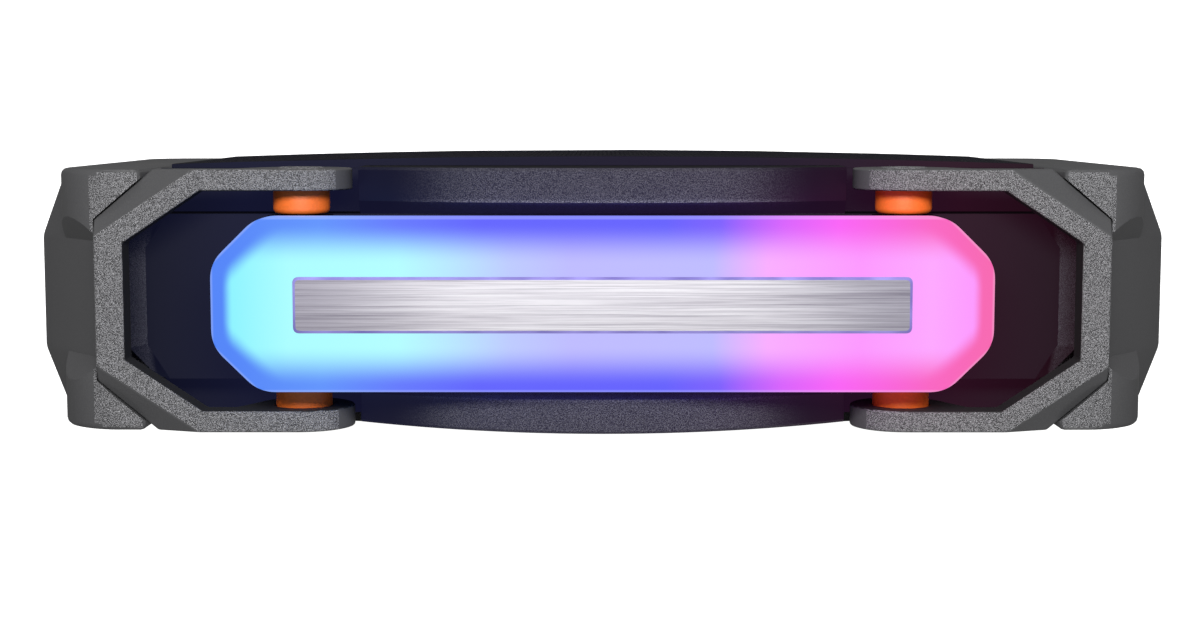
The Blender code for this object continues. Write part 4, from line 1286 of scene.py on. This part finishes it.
def make_woofer(side_name, side):
    place = (side * WOOFER_X, BAFFLE_FRONT, WOOFER_Z)
    basket = in_mm((66.8, 4.0), (81.4, 4.0)) + [(BASKET_R, 3.4 * MM), (BASKET_R, 0.3 * MM)]
    basket += in_mm((72.8, 0.3), (72.8, -8.0), (42.0, -50.0), (42.0, -53.0), (20.8, -53.0))
    basket += in_mm((20.8, -50.5), (39.5, -50.5), (66.8, -12.0))
    frame_piece = turned("basket_" + side_name, basket, place, -1, closed=True, steps=72)
    for k in range(6):
        a = math.radians(30 + 60 * k)
        x = place[0] + 62 * MM * math.cos(a)
        z = place[2] + 62 * MM * math.sin(a)
        boolean(frame_piece, rod("window", 11 * MM, x, z, BAFFLE_FRONT + 14 * MM, BAFFLE_FRONT + 60 * MM, 24))
    settle(frame_piece)
    smooth(frame_piece)
    dress(frame_piece, dark_metal, "cabinet", "dark_metal", "woofer_basket_" + side_name)
    face_y = BAFFLE_FRONT - 4.0 * MM
    centre = (place[0], place[2])
    screw_ring("woofer_screws_" + side_name, 77.5 * MM, 6, centre, face_y, -1, proud=0.5 * MM)

    magnet = in_mm((0.0, -40.0), (17.4, -40.0), (18.0, -40.6), (18.0, -53.3), (39.0, -53.3))
    magnet += in_mm((40.0, -54.3), (40.0, -57.8), (38.6, -58.4), (38.6, -66.6), (40.0, -67.2))
    magnet += in_mm((40.0, -72.0), (39.0, -73.0), (8.0, -73.0), (6.0, -71.0), (0.0, -71.0))
    core = turned("magnet_" + side_name, magnet, place, -1)
    dress(core, dark_metal, "cabinet", "dark_metal", "woofer_magnet_" + side_name)

    section = half_roll(61.0 * MM, 0.5 * MM, 5.2 * MM, 5.0 * MM, 1.2 * MM)
    roll = turned("surround_" + side_name, section, place, -1, closed=True)
    dress(roll, black_rubber, "cabinet", "black_rubber", "woofer_surround_" + side_name)

    cap = [(20.0 * MM * math.sin(a), -23.0 * MM + 6.0 * MM * math.cos(a)) for a in quarter_turn(12)]
    under = [(18.6 * MM * math.sin(a), -24.2 * MM + 5.6 * MM * math.cos(a)) for a in quarter_turn(12)]
    flare = []
    for i in range(13):
        t = i / 12
        sag = 1.6 * MM * math.sin(math.pi * t)
        flare.append((20.4 * MM + 34.8 * MM * t, -23.6 * MM + 24.8 * MM * t - sag))
    back_side = [(55.2 * MM, -0.2 * MM)]
    for i in range(1, 12):
        t = 1 - i / 12
        sag = 1.6 * MM * math.sin(math.pi * t)
        back_side.append((20.0 * MM + 35.2 * MM * t, -25.0 * MM + 24.8 * MM * t - sag))
    coil = in_mm((20.0, -25.0), (20.0, -45.0), (18.6, -45.0))
    profile = cap[:-1] + flare + back_side + coil + list(reversed(under))
    cone = turned("cone_" + side_name, profile, place, -1)
    dress(cone, paper, "woofer_cone_" + side_name, "coated_paper", "woofer_cone_" + side_name)


def make_tweeter(side_name, side):
    place = (side * TWEETER_X, BAFFLE_FRONT, TWEETER_Z)
    profile = [(11.0 * MM * math.sin(a), 1.2 * MM + 4.5 * MM * math.cos(a)) for a in quarter_turn(12)]
    profile += in_mm((12.2, 0.8), (13.2, 1.3), (15.0, 1.5), (16.6, 2.3), (18.0, 3.6))
    profile += [(TWEETER_R - 0.6 * MM, 3.6 * MM), (TWEETER_R, 3.0 * MM)]
    profile += [(TWEETER_R, 0.3 * MM), (TWEETER_R - 4.0 * MM, 0.3 * MM), (TWEETER_R - 4.0 * MM, -19.0 * MM)]
    profile += [(0.0, -19.0 * MM)]
    piece = turned("tweeter_dome_" + side_name, profile, place, -1)
    dress(piece, dark_metal, "cabinet", "dark_metal", "tweeter_" + side_name)
    name = "tweeter_screws_" + side_name
    centre = (place[0], place[2])
    screw_ring(name, 20.2 * MM, 3, centre, BAFFLE_FRONT - 3.6 * MM, -1, 90, head=1.1 * MM, proud=0.3 * MM)


for side_name, side in SIDES.items():
    make_woofer(side_name, side)
    make_tweeter(side_name, side)
print("drivers behind the grille: 4")

# %% [markdown]
# ## The rear cover and the passive radiators
#
# The back is a board with a slight bulge. Its two round openings hold passive radiators: heavy plates on
# rubber rolls with no magnet of their own, which the air inside pushes to and fro. They deepen the bass
# without a hole in the box. Eight screws hold the cover, each in its own counterbore.

# %% Rear cover and radiators
RADIATOR_R = 62.0 * MM
COVER_EDGE_Y = 65.5 * MM
PANEL_LOW, PANEL_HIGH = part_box("rear_panel")
PANEL_X = PANEL_HIGH.x + 0.3 * MM
PANEL_Z = (50.0 * MM, 150.0 * MM)
PANEL_FACE = 64.0 * MM


def cover_y(x):
    return COVER_EDGE_Y + arch(x, cover_high.x, cover_high.y - COVER_EDGE_Y)


def cover_screw_places():
    places = []
    for x in (-0.224, -0.076, 0.076, 0.224):
        for z in (cover_low.z + 10 * MM, cover_high.z - 10 * MM):
            places.append((x, z))
    return places


def make_rear_cover():
    plan = bulged_plan(cover_high.x, cover_low.y, COVER_EDGE_Y, cover_high.y)
    cover = outline("rear_board", plan, cover_low.z, cover_high.z)
    near, far = cover_low.y - WALL, cover_high.y + WALL
    for side in SIDES.values():
        boolean(cover, rod("radiator_hole", RADIATOR_R, side * WOOFER_X, WOOFER_Z, near, far, 96))
        x = side * WOOFER_X
        boolean(cover, rod("step", RADIATOR_R + 5 * MM, x, WOOFER_Z, cover_y(WOOFER_X) - 1.6 * MM, far, 96))
    boolean(cover, block("panel_window", (-PANEL_X, near, PANEL_Z[0]), (PANEL_X, far, PANEL_Z[1])))
    for x, z in cover_screw_places():
        boolean(cover, rod("counterbore", 3.2 * MM, x, z, cover_y(x) - 1.5 * MM, far, 24))
    settle(cover)
    round_edges(cover, 0.7 * MM, segments=2)
    return dress(cover, black_plastic, "cabinet", "black_grained_plastic", "rear_cover")


def make_radiator(side_name, side):
    place = (side * WOOFER_X, shell_high.y, WOOFER_Z)
    section = half_roll(53.5 * MM, 2.0 * MM, 8.1 * MM, 6.0 * MM, 1.4 * MM)
    roll = turned("radiator_roll_" + side_name, section, place, 1, closed=True)
    dress(roll, black_rubber, "cabinet", "black_rubber", "radiator_surround_" + side_name)
    profile = in_mm((0.0, 1.0), (8.0, 1.0), (8.8, 0.2), (10.4, 0.2), (11.2, 1.0), (30.0, 1.0))
    profile += in_mm((31.4, 1.4), (34.6, 3.2), (36.0, 3.6), (44.2, 3.6), (44.8, 3.0), (44.8, 1.2))
    profile += in_mm((36.0, 1.2), (30.0, -1.4), (0.0, -1.4))
    plate = turned("radiator_disc_" + side_name, profile, place, 1)
    dress(plate, dark_metal, "radiator_plate_" + side_name, "dark_metal", "radiator_plate_" + side_name)


make_rear_cover()
for side_name, side in SIDES.items():
    make_radiator(side_name, side)
screws("rear_cover_screws", [(x, cover_y(x) - 1.0 * MM, z) for x, z in cover_screw_places()], 1)
print("rear cover with", len(cover_screw_places()), "screws")

# %% [markdown]
# ## The control strip and its buttons
#
# Seven round rubber buttons stand in wells in a strip at the foot of the grille. Each carries a raised
# sign: power, two linked rings for pairing, a wave for bass, a triangle for play, a sun for the light, a
# bar and a cross for the volume. A sign is a thin prism on the button's face, in a pale finish.

# %% Control strip and buttons
BUTTONS = ("power", "pairing", "bass", "play", "light", "volume_down", "volume_up")
sign_finish = grained_plastic("pale_sign_print", (0.62, 0.62, 0.64), 0.55, 1500, 0.00001, mottle=0.03)


def make_control_strip():
    strip = block("control_strip_body", strip_low, strip_high)
    for name in BUTTONS:
        low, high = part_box("button_" + name)
        radius = (high.x - low.x) / 2 + 0.3 * MM
        x, z = (low.x + high.x) / 2, (low.z + high.z) / 2
        boolean(strip, rod("well", radius, x, z, strip_low.y - 1 * MM, strip_high.y - 2.0 * MM, 48))
        boolean(strip, rod("dish", radius + 0.9 * MM, x, z, strip_low.y - 1 * MM, strip_low.y + 0.5 * MM, 48))
    settle(strip)
    round_edges(strip, 0.35 * MM, segments=2)
    return dress(strip, smooth_black, "cabinet", "black_grained_plastic", "control_strip")


def bar(u, v, width, height, angle=0.0):
    """Rectangle about (u, v), turned by an angle in degrees."""
    cosine, sine = math.cos(math.radians(angle)), math.sin(math.radians(angle))
    points = []
    for a, b in ((-1, -1), (1, -1), (1, 1), (-1, 1)):
        du, dv = a * width / 2, b * height / 2
        points.append((u + du * cosine - dv * sine, v + du * sine + dv * cosine))
    return points


def stroke(points, width):
    """Outline of a line of that width drawn through the points."""
    left, right_side = [], []
    for i, point in enumerate(points):
        before = Vector(points[max(i - 1, 0)])
        after = Vector(points[min(i + 1, len(points) - 1)])
        along = (after - before).normalized()
        normal = Vector((-along.y, along.x)) * width / 2
        left.append(tuple(Vector(point) + normal))
        right_side.append(tuple(Vector(point) - normal))
    return left + list(reversed(right_side))


def sign_outlines(name):
    """Outlines in millimetres from the button's middle."""
    line = 0.55
    if name == "power":
        return [stroke(arc((0, -0.2), 2.0, 125, 415, 24), line), bar(0, 1.5, line, 2.2)]
    if name == "pairing":
        rings = (arc((-0.9, 0), 1.3, 0, 345, 24), arc((1.1, 0), 1.3, 150, -150, 20))
        return [stroke(ring, line) for ring in rings]
    if name == "bass":
        return [stroke([(-2.4 + 0.2 * i, 1.2 * math.sin(math.pi * i / 8)) for i in range(25)], line)]
    if name == "play":
        return [[(-1.7, -2.3), (2.5, 0), (-1.7, 2.3)]]
    if name == "light":
        rays = []
        for k in range(8):
            a = math.radians(45 * k)
            rays.append(bar(2.1 * math.cos(a), 2.1 * math.sin(a), 1.0, 0.45, 45 * k))
        return [arc((0, 0), 1.1, 0, 345, 23)] + rays
    if name == "volume_down":
        return [bar(0, 0, 3.4, 0.7)]
    return [bar(0, 0, 3.4, 0.7), bar(0, 1.05, 0.7, 1.4), bar(0, -1.05, 0.7, 1.4)]


def make_button(name):
    low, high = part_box("button_" + name)
    radius = (high.x - low.x) / 2
    middle = ((low.x + high.x) / 2, (low.z + high.z) / 2)
    face = high.y - low.y
    lift = 0.2 * MM
    profile = [(0.0, face - lift - 0.25 * MM), (0.7 * radius, face - lift)]
    profile += arc((radius - 1.0 * MM, face - lift - 1.0 * MM), 1.0 * MM, 90, 0, 6)
    profile += [(radius, 0.0), (0.0, 0.0)]
    knob = turned("button_cap_" + name, profile, (middle[0], high.y, middle[1]), -1, steps=48)
    dress(knob, black_rubber, "button_" + name, "black_rubber", "button_" + name)
    for index, points in enumerate(sign_outlines(name)):
        placed = [(middle[0] + MM * u, middle[1] + MM * v) for u, v in points]
        sign = outline("sign_%s_%d" % (name, index), placed, -low.y - lift - 0.4 * MM, -low.y, "XZ")
        dress(sign, sign_finish, "button_" + name, "black_rubber")


make_control_strip()
for name in BUTTONS:
    make_button(name)
print("buttons:", len(BUTTONS))

# %% [markdown]
# ## The rear panel
#
# The panel carries the sockets, two knobs and the flap that covers the sockets. Sockets are blocks with a
# mouth cut in and their contacts put back. The knobs are turned, then a row of shallow grooves is cut
# round the grip. A pale line on each knob and a ring of dots on the panel show where it points.

# %% Rear panel, sockets, knobs and flap
flap_low, flap_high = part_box("port_cover")
pin_low, pin_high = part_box("port_cover_pin")
mains_low, mains_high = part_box("mains_inlet")
usb_low, usb_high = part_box("usb_socket")
line_low, line_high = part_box("line_in_socket")
HINGE = ((pin_low.y + pin_high.y) / 2, (pin_low.z + pin_high.z) / 2)
HINGE_R = 2.8 * MM
PIN_ROOM = 1.5 * MM
gold = plain_metal("gold_contact", (0.80, 0.56, 0.22), 0.32)
KNOBS = ("bass_knob", "microphone_knob")


def add_cylinder(bm, matrix, radius, length, segments):
    size = {"radius1": radius, "radius2": radius, "depth": length}
    bmesh.ops.create_cone(bm, cap_ends=True, segments=segments, matrix=matrix, **size)


def knob_middle(name):
    low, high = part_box(name)
    return (low.x + high.x) / 2, (low.z + high.z) / 2


def make_rear_panel():
    gap = 0.3 * MM
    low = (gap - PANEL_X, PANEL_LOW.y, PANEL_Z[0] + gap)
    high = (PANEL_X - gap, PANEL_FACE, PANEL_Z[1] - gap)
    panel = block("rear_panel_body", low, high)
    for side in SIDES.values():
        near, far = sorted((side * (flap_high.x + 0.6 * MM), side * (flap_high.x + 4.6 * MM)))
        ear_view = arc(HINGE, HINGE_R, -90, 90, 10)
        ear_view += [(PANEL_FACE - 1 * MM, HINGE[1] + HINGE_R), (PANEL_FACE - 1 * MM, HINGE[1] - HINGE_R)]
        boolean(panel, outline("ear", ear_view, near, far, "YZ"), "UNION")
    bore_low = (pin_low.x - gap, HINGE[0] - PIN_ROOM, HINGE[1] - PIN_ROOM)
    bore_high = (pin_high.x + gap, HINGE[0] + PIN_ROOM, HINGE[1] + PIN_ROOM)
    boolean(panel, block("pin_bore", bore_low, bore_high))
    for mouth_low, mouth_high in ((mains_low, mains_high), (usb_low, usb_high)):
        room = Vector((gap, 20 * MM, gap))
        boolean(panel, block("socket_hole", mouth_low - room, mouth_high + room))
    x, z = (line_low.x + line_high.x) / 2, (line_low.z + line_high.z) / 2
    boolean(panel, rod("line_hole", line_high.x - x + gap, x, z, 0.05, 0.08, 32))
    for name in KNOBS:
        x, z = knob_middle(name)
        boolean(panel, rod("knob_hole", 3.3 * MM, x, z, 0.05, 0.08, 24))
    settle(panel)
    round_edges(panel, 0.4 * MM, segments=2)
    return dress(panel, smooth_black, "cabinet", "black_grained_plastic", "rear_panel")


def make_socket(name, low, high, wall, depth):
    body = block(name + "_body", low, high)
    mouth = [
        (low.x + wall, low.z + wall),
        (high.x - wall, low.z + wall),
        (high.x - wall, high.z - wall),
        (low.x + wall, high.z - wall),
    ]
    floor = high.y - depth
    boolean(body, outline("mouth", rounded(mouth, wall), -high.y - 1 * MM, -floor, "XZ"))
    settle(body)
    round_edges(body, 0.2 * MM, segments=2)
    return dress(body, dark_metal, "cabinet", "dark_metal", name)


def make_contacts():
    middle = (mains_low + mains_high) / 2
    for side_name, side in SIDES.items():
        x = middle.x + side * 4.3 * MM
        near, far = mains_high.y - 14 * MM, mains_high.y - 2 * MM
        pin = rod("mains_pin_" + side_name, 1.15 * MM, x, middle.z, near, far, 24)
        smooth(pin)
        dress(pin, bright_metal, "cabinet", "dark_metal")
    middle = (usb_low + usb_high) / 2
    tongue_low = (usb_low.x + 2.0 * MM, usb_high.y - 13 * MM, middle.z + 0.1 * MM)
    tongue_high = (usb_high.x - 2.0 * MM, usb_high.y - 1.0 * MM, middle.z + 1.7 * MM)
    tongue = block("usb_tongue", tongue_low, tongue_high)
    dress(tongue, sign_finish, "cabinet", "dark_metal")
    for k in range(4):
        x = middle.x + (k - 1.5) * 2.2 * MM
        low = (x - 0.6 * MM, usb_high.y - 12 * MM, middle.z - 0.1 * MM)
        high = (x + 0.6 * MM, usb_high.y - 1.6 * MM, middle.z + 0.2 * MM)
        contact = block("usb_contact_%d" % (k + 1), low, high)
        dress(contact, gold, "cabinet", "dark_metal")
    x, z = (line_low.x + line_high.x) / 2, (line_low.z + line_high.z) / 2
    radius = line_high.x - x
    face = line_high.y
    mouth_r, mouth_end = 1.8 * MM, face - 14.4 * MM
    profile = [(0.0, mouth_end), (mouth_r, mouth_end), (mouth_r, face - 0.3 * MM), (2.1 * MM, face)]
    profile += [(radius - 0.4 * MM, face), (radius, face - 0.4 * MM), (radius, line_low.y), (0.0, line_low.y)]
    jack = turned("line_in_bush", profile, (x, 0, z), 1, steps=48)
    dress(jack, gold, "cabinet", "dark_metal", "line_in_socket")


def make_flap():
    low, high = flap_low, flap_high
    inner, outer = 66.2 * MM, 69.2 * MM
    view = arc(HINGE, HINGE_R, 180, 360, 16)
    bend = HINGE[1] + 4.0 * MM
    view += [(outer + 0.8 * MM, bend), (outer, high.z), (inner, high.z), (inner, bend)]
    flap = outline("port_flap", view, low.x, high.x, "YZ")
    bore_low = (low.x - WALL, HINGE[0] - PIN_ROOM, HINGE[1] - PIN_ROOM)
    bore_high = (high.x + WALL, HINGE[0] + PIN_ROOM, HINGE[1] + PIN_ROOM)
    boolean(flap, block("bore", bore_low, bore_high))
    dent = [(-13 * MM, high.z - 4.5 * MM), (13 * MM, high.z - 4.5 * MM), (13 * MM, 0.2), (-13 * MM, 0.2)]
    boolean(flap, outline("finger_dent", rounded(dent, 2 * MM), -0.080, -(outer - 1.2 * MM), "XZ"))
    settle(flap)
    round_edges(flap, 0.5 * MM, segments=3)
    dress(flap, black_rubber, "port_cover", "black_rubber", "port_cover")
    for k in range(3):
        z = high.z - 12 * MM - 3.0 * MM * k
        rib_high = (11 * MM, outer + 0.5 * MM, z + 1.2 * MM)
        rib = block("flap_rib_%d" % (k + 1), (-11 * MM, outer - 1 * MM, z), rib_high)
        round_edges(rib, 0.3 * MM, segments=2)
        dress(rib, black_rubber, "port_cover", "black_rubber")


def make_pin():
    bm = bmesh.new()
    length = pin_high.x - pin_low.x
    radius = (pin_high.z - pin_low.z) / 2
    bmesh.ops.create_cone(bm, cap_ends=True, segments=32, radius1=radius, radius2=radius, depth=length)
    turn = Matrix.Translation((0, HINGE[0], HINGE[1])) @ Matrix.Rotation(math.radians(90), 4, "Y")
    bmesh.ops.transform(bm, matrix=turn, verts=bm.verts)
    pin = smooth(object_from(bm, "hinge_pin"))
    return dress(pin, bright_metal, "cabinet", "dark_metal", "port_cover_pin")


def make_knob(name):
    low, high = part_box(name)
    x, z = knob_middle(name)
    radius = (high.x - low.x) / 2
    top = high.y
    dish, foot = top - 0.5 * MM, PANEL_FACE + 0.3 * MM
    shaft = 3.0 * MM
    profile = [(0.0, dish), (radius - 3.2 * MM, dish), (radius - 2.8 * MM, top - 0.1 * MM)]
    profile += arc((radius - 1.2 * MM, top - 0.8 * MM), 0.8 * MM, 90, 0, 5)
    profile += [(radius, foot), (shaft, foot), (shaft, low.y), (0.0, low.y)]
    knob = turned(name + "_grip", profile, (x, 0, z), 1, steps=96)
    grooves = 24
    for k in range(grooves):
        a = 2 * math.pi * k / grooves
        u, w = x + (radius + 0.25 * MM) * math.cos(a), z + (radius + 0.25 * MM) * math.sin(a)
        boolean(knob, rod("groove", 0.75 * MM, u, w, PANEL_FACE + 1.6 * MM, top + 1 * MM, 12))
    settle(knob)
    smooth(knob)
    dress(knob, black_plastic, name, "black_grained_plastic", name)
    line_low = (x - 0.45 * MM, top - 0.9 * MM, z + 2 * MM)
    line_high = (x + 0.45 * MM, top - 0.05 * MM, z + 8.4 * MM)
    line = block(name + "_pointer", line_low, line_high)
    dress(line, sign_finish, name, "black_grained_plastic")
    dots = bmesh.new()
    for k in range(11):
        a = math.radians(-45 + 27 * k)
        spot = Matrix.Translation((x + 14 * MM * math.cos(a), PANEL_FACE, z + 14 * MM * math.sin(a)))
        add_cylinder(dots, spot @ Matrix.Rotation(math.radians(90), 4, "X"), 0.55 * MM, 0.3 * MM, 16)
    dress(object_from(dots, name + "_scale"), sign_finish, "cabinet", "black_grained_plastic")


make_rear_panel()
make_socket("mains_inlet", mains_low, mains_high, 2.0 * MM, 16 * MM)
make_socket("usb_socket", usb_low, usb_high, 0.8 * MM, 14 * MM)
make_contacts()
make_flap()
make_pin()
for name in KNOBS:
    make_knob(name)
panel_corners = []
for side in SIDES.values():
    for z in (PANEL_Z[0] + 6 * MM, PANEL_Z[1] - 6 * MM):
        panel_corners.append((side * (PANEL_X - 5 * MM), PANEL_FACE, z))
screws("rear_panel_screws", panel_corners, 1, head=1.9 * MM)
print("rear panel is ready")

# %% [markdown]
# ## Feet and the insides
#
# The feet are turned rubber. Inside, the tray under the light holds a board with two rows of lamps, and
# the cabinet holds an amplifier board and a battery pack: twelve round cells, six side by side and two
# high, in one shrunk blue film. None of it shows from outside, but a part that opens up should be whole.

# %% Feet, tray, boards and battery
tray_low, tray_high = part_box("light_tray")
board_low, board_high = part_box("light_board")
amp_low, amp_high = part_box("amplifier_board")
pack_low, pack_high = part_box("battery_pack")


def board_finish():
    finish = Finish("circuit_board", (0.020, 0.110, 0.050), 0.40)
    mask = finish.noise(160, detail=5.0, roughness=0.8)
    shade = finish.ramp(mask, [(0.46, (0.014, 0.085, 0.038)), (0.54, (0.030, 0.150, 0.070))])
    finish.feed(finish.shader.inputs["Base Color"], shade)
    finish.bump(mask, 0.4, 0.00002)
    return finish.material


def film_finish():
    finish = Finish("blue_shrink_wrap", (0.030, 0.080, 0.240), 0.28)
    wrinkle = finish.noise(60, detail=3.0, stretch=(1, 0.3, 1))
    shade = finish.ramp(wrinkle, [(0.3, (0.022, 0.062, 0.200)), (0.7, (0.040, 0.105, 0.300))])
    finish.feed(finish.shader.inputs["Base Color"], shade)
    finish.bump(wrinkle, 0.5, 0.00030)
    return finish.material


def lamp_finish():
    finish = Finish("lamp_lens", (0.9, 0.9, 0.8), 0.25)
    spots = finish.noise(500, detail=1.0)
    shade = finish.ramp(spots, [(0.3, (0.85, 0.85, 0.95)), (0.7, (1.0, 1.0, 1.0))])
    finish.feed(finish.shader.inputs["Emission Color"], shade)
    finish.set("Emission Strength", 0.6)
    return finish.material


circuit_board = board_finish()
shrink_wrap = film_finish()
lamp_lens = lamp_finish()


def turned_up(name, profile, place, steps=48):
    """Piece turned about Z through place."""
    bm = bmesh.new()
    verts = [bm.verts.new((radius, 0.0, height)) for radius, height in profile]
    edges = [bm.edges.new((a, b)) for a, b in zip(verts, verts[1:])]
    spin_about_z(bm, verts + edges, steps)
    bmesh.ops.remove_doubles(bm, verts=bm.verts, dist=0.000005)
    bmesh.ops.translate(bm, vec=place, verts=bm.verts)
    bmesh.ops.recalc_face_normals(bm, faces=bm.faces)
    return smooth(object_from(bm, name))


def make_foot(end_name, side_name):
    node = "foot_%s_%s" % (end_name, side_name)
    low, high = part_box(node)
    top = (high.x - low.x) / 2
    height = high.z - low.z
    profile = [(0.0, 0.6 * MM), (4.0 * MM, 0.6 * MM), (5.0 * MM, 0.0), (top - 3.0 * MM, 0.0)]
    profile += [(top - 2.0 * MM, 1.0 * MM), (top - 0.6 * MM, height - 1.0 * MM), (top, height - 0.6 * MM)]
    profile += [(top, height), (0.0, height)]
    place = ((low.x + high.x) / 2, (low.y + high.y) / 2, low.z)
    return dress(turned_up("rubber_" + node, profile, place), black_rubber, "cabinet", "black_rubber", node)


def make_tray():
    tray = block("lamp_tray", tray_low, tray_high)
    room = 3 * MM
    pocket_low = (tray_low.x + room, tray_low.y + room, tray_high.z - 5 * MM)
    pocket_high = (tray_high.x - room, tray_high.y - room, tray_high.z + WALL)
    boolean(tray, block("pocket", pocket_low, pocket_high))
    settle(tray)
    round_edges(tray, 0.8 * MM, segments=2)
    return dress(tray, smooth_black, "cabinet", "black_grained_plastic", "light_tray")


def make_light_board():
    board = block("lamp_board", board_low, board_high)
    dress(board, circuit_board, "cabinet", "circuit_board", "light_board")
    lamps = bmesh.new()
    count = 24
    for row in (-1, 1):
        for k in range(count):
            x = (k - (count - 1) / 2) * (board_high.x - board_low.x - 20 * MM) / (count - 1)
            spot = Matrix.Translation((x, row * 12 * MM, board_high.z + 0.6 * MM))
            lamp_size = Matrix.Diagonal((5 * MM, 5 * MM, 1.4 * MM, 1))
            bmesh.ops.create_cube(lamps, size=1.0, matrix=spot @ lamp_size)
    dress(object_from(lamps, "lamps"), lamp_lens, "cabinet", "circuit_board")


def make_amplifier():
    thin = 1.4 * MM
    board = block("amplifier_plate", amp_low, (amp_high.x, amp_low.y + thin, amp_high.z))
    dress(board, circuit_board, "cabinet", "circuit_board", "amplifier_board")
    chips = bmesh.new()
    for k in range(12):
        u = amp_low.x + 14 * MM + 26 * MM * (k % 4)
        w = amp_low.z + 20 * MM + 36 * MM * (k // 4)
        size = 12 * MM if k % 3 else 18 * MM
        spot = Matrix.Translation((u, amp_low.y + thin + 0.25 * MM, w))
        bmesh.ops.create_cube(chips, size=1.0, matrix=spot @ Matrix.Diagonal((size, 0.6 * MM, size, 1)))
    dress(object_from(chips, "chips"), smooth_black, "cabinet", "circuit_board")


def make_battery():
    radius = (pack_high.z - pack_low.z) / 4
    columns = 6
    step = (pack_high.x - pack_low.x - 2 * radius) / (columns - 1)
    cells = bmesh.new()
    for row in range(2):
        for column in range(columns):
            x = pack_low.x + radius + step * column
            z = pack_low.z + radius * (1 + 2 * row)
            spot = Matrix.Translation((x, (pack_low.y + pack_high.y) / 2, z))
            turn = spot @ Matrix.Rotation(math.radians(90), 4, "X")
            add_cylinder(cells, turn, radius * 0.99, pack_high.y - pack_low.y, 40)
    pack = smooth(object_from(cells, "battery_cells"))
    dress(pack, shrink_wrap, "cabinet", "blue_shrink_wrap", "battery_pack")


for side_name in SIDES:
    for end_name in ENDS:
        make_foot(end_name, side_name)
make_tray()
make_light_board()
make_amplifier()
make_battery()
print("insides are ready")
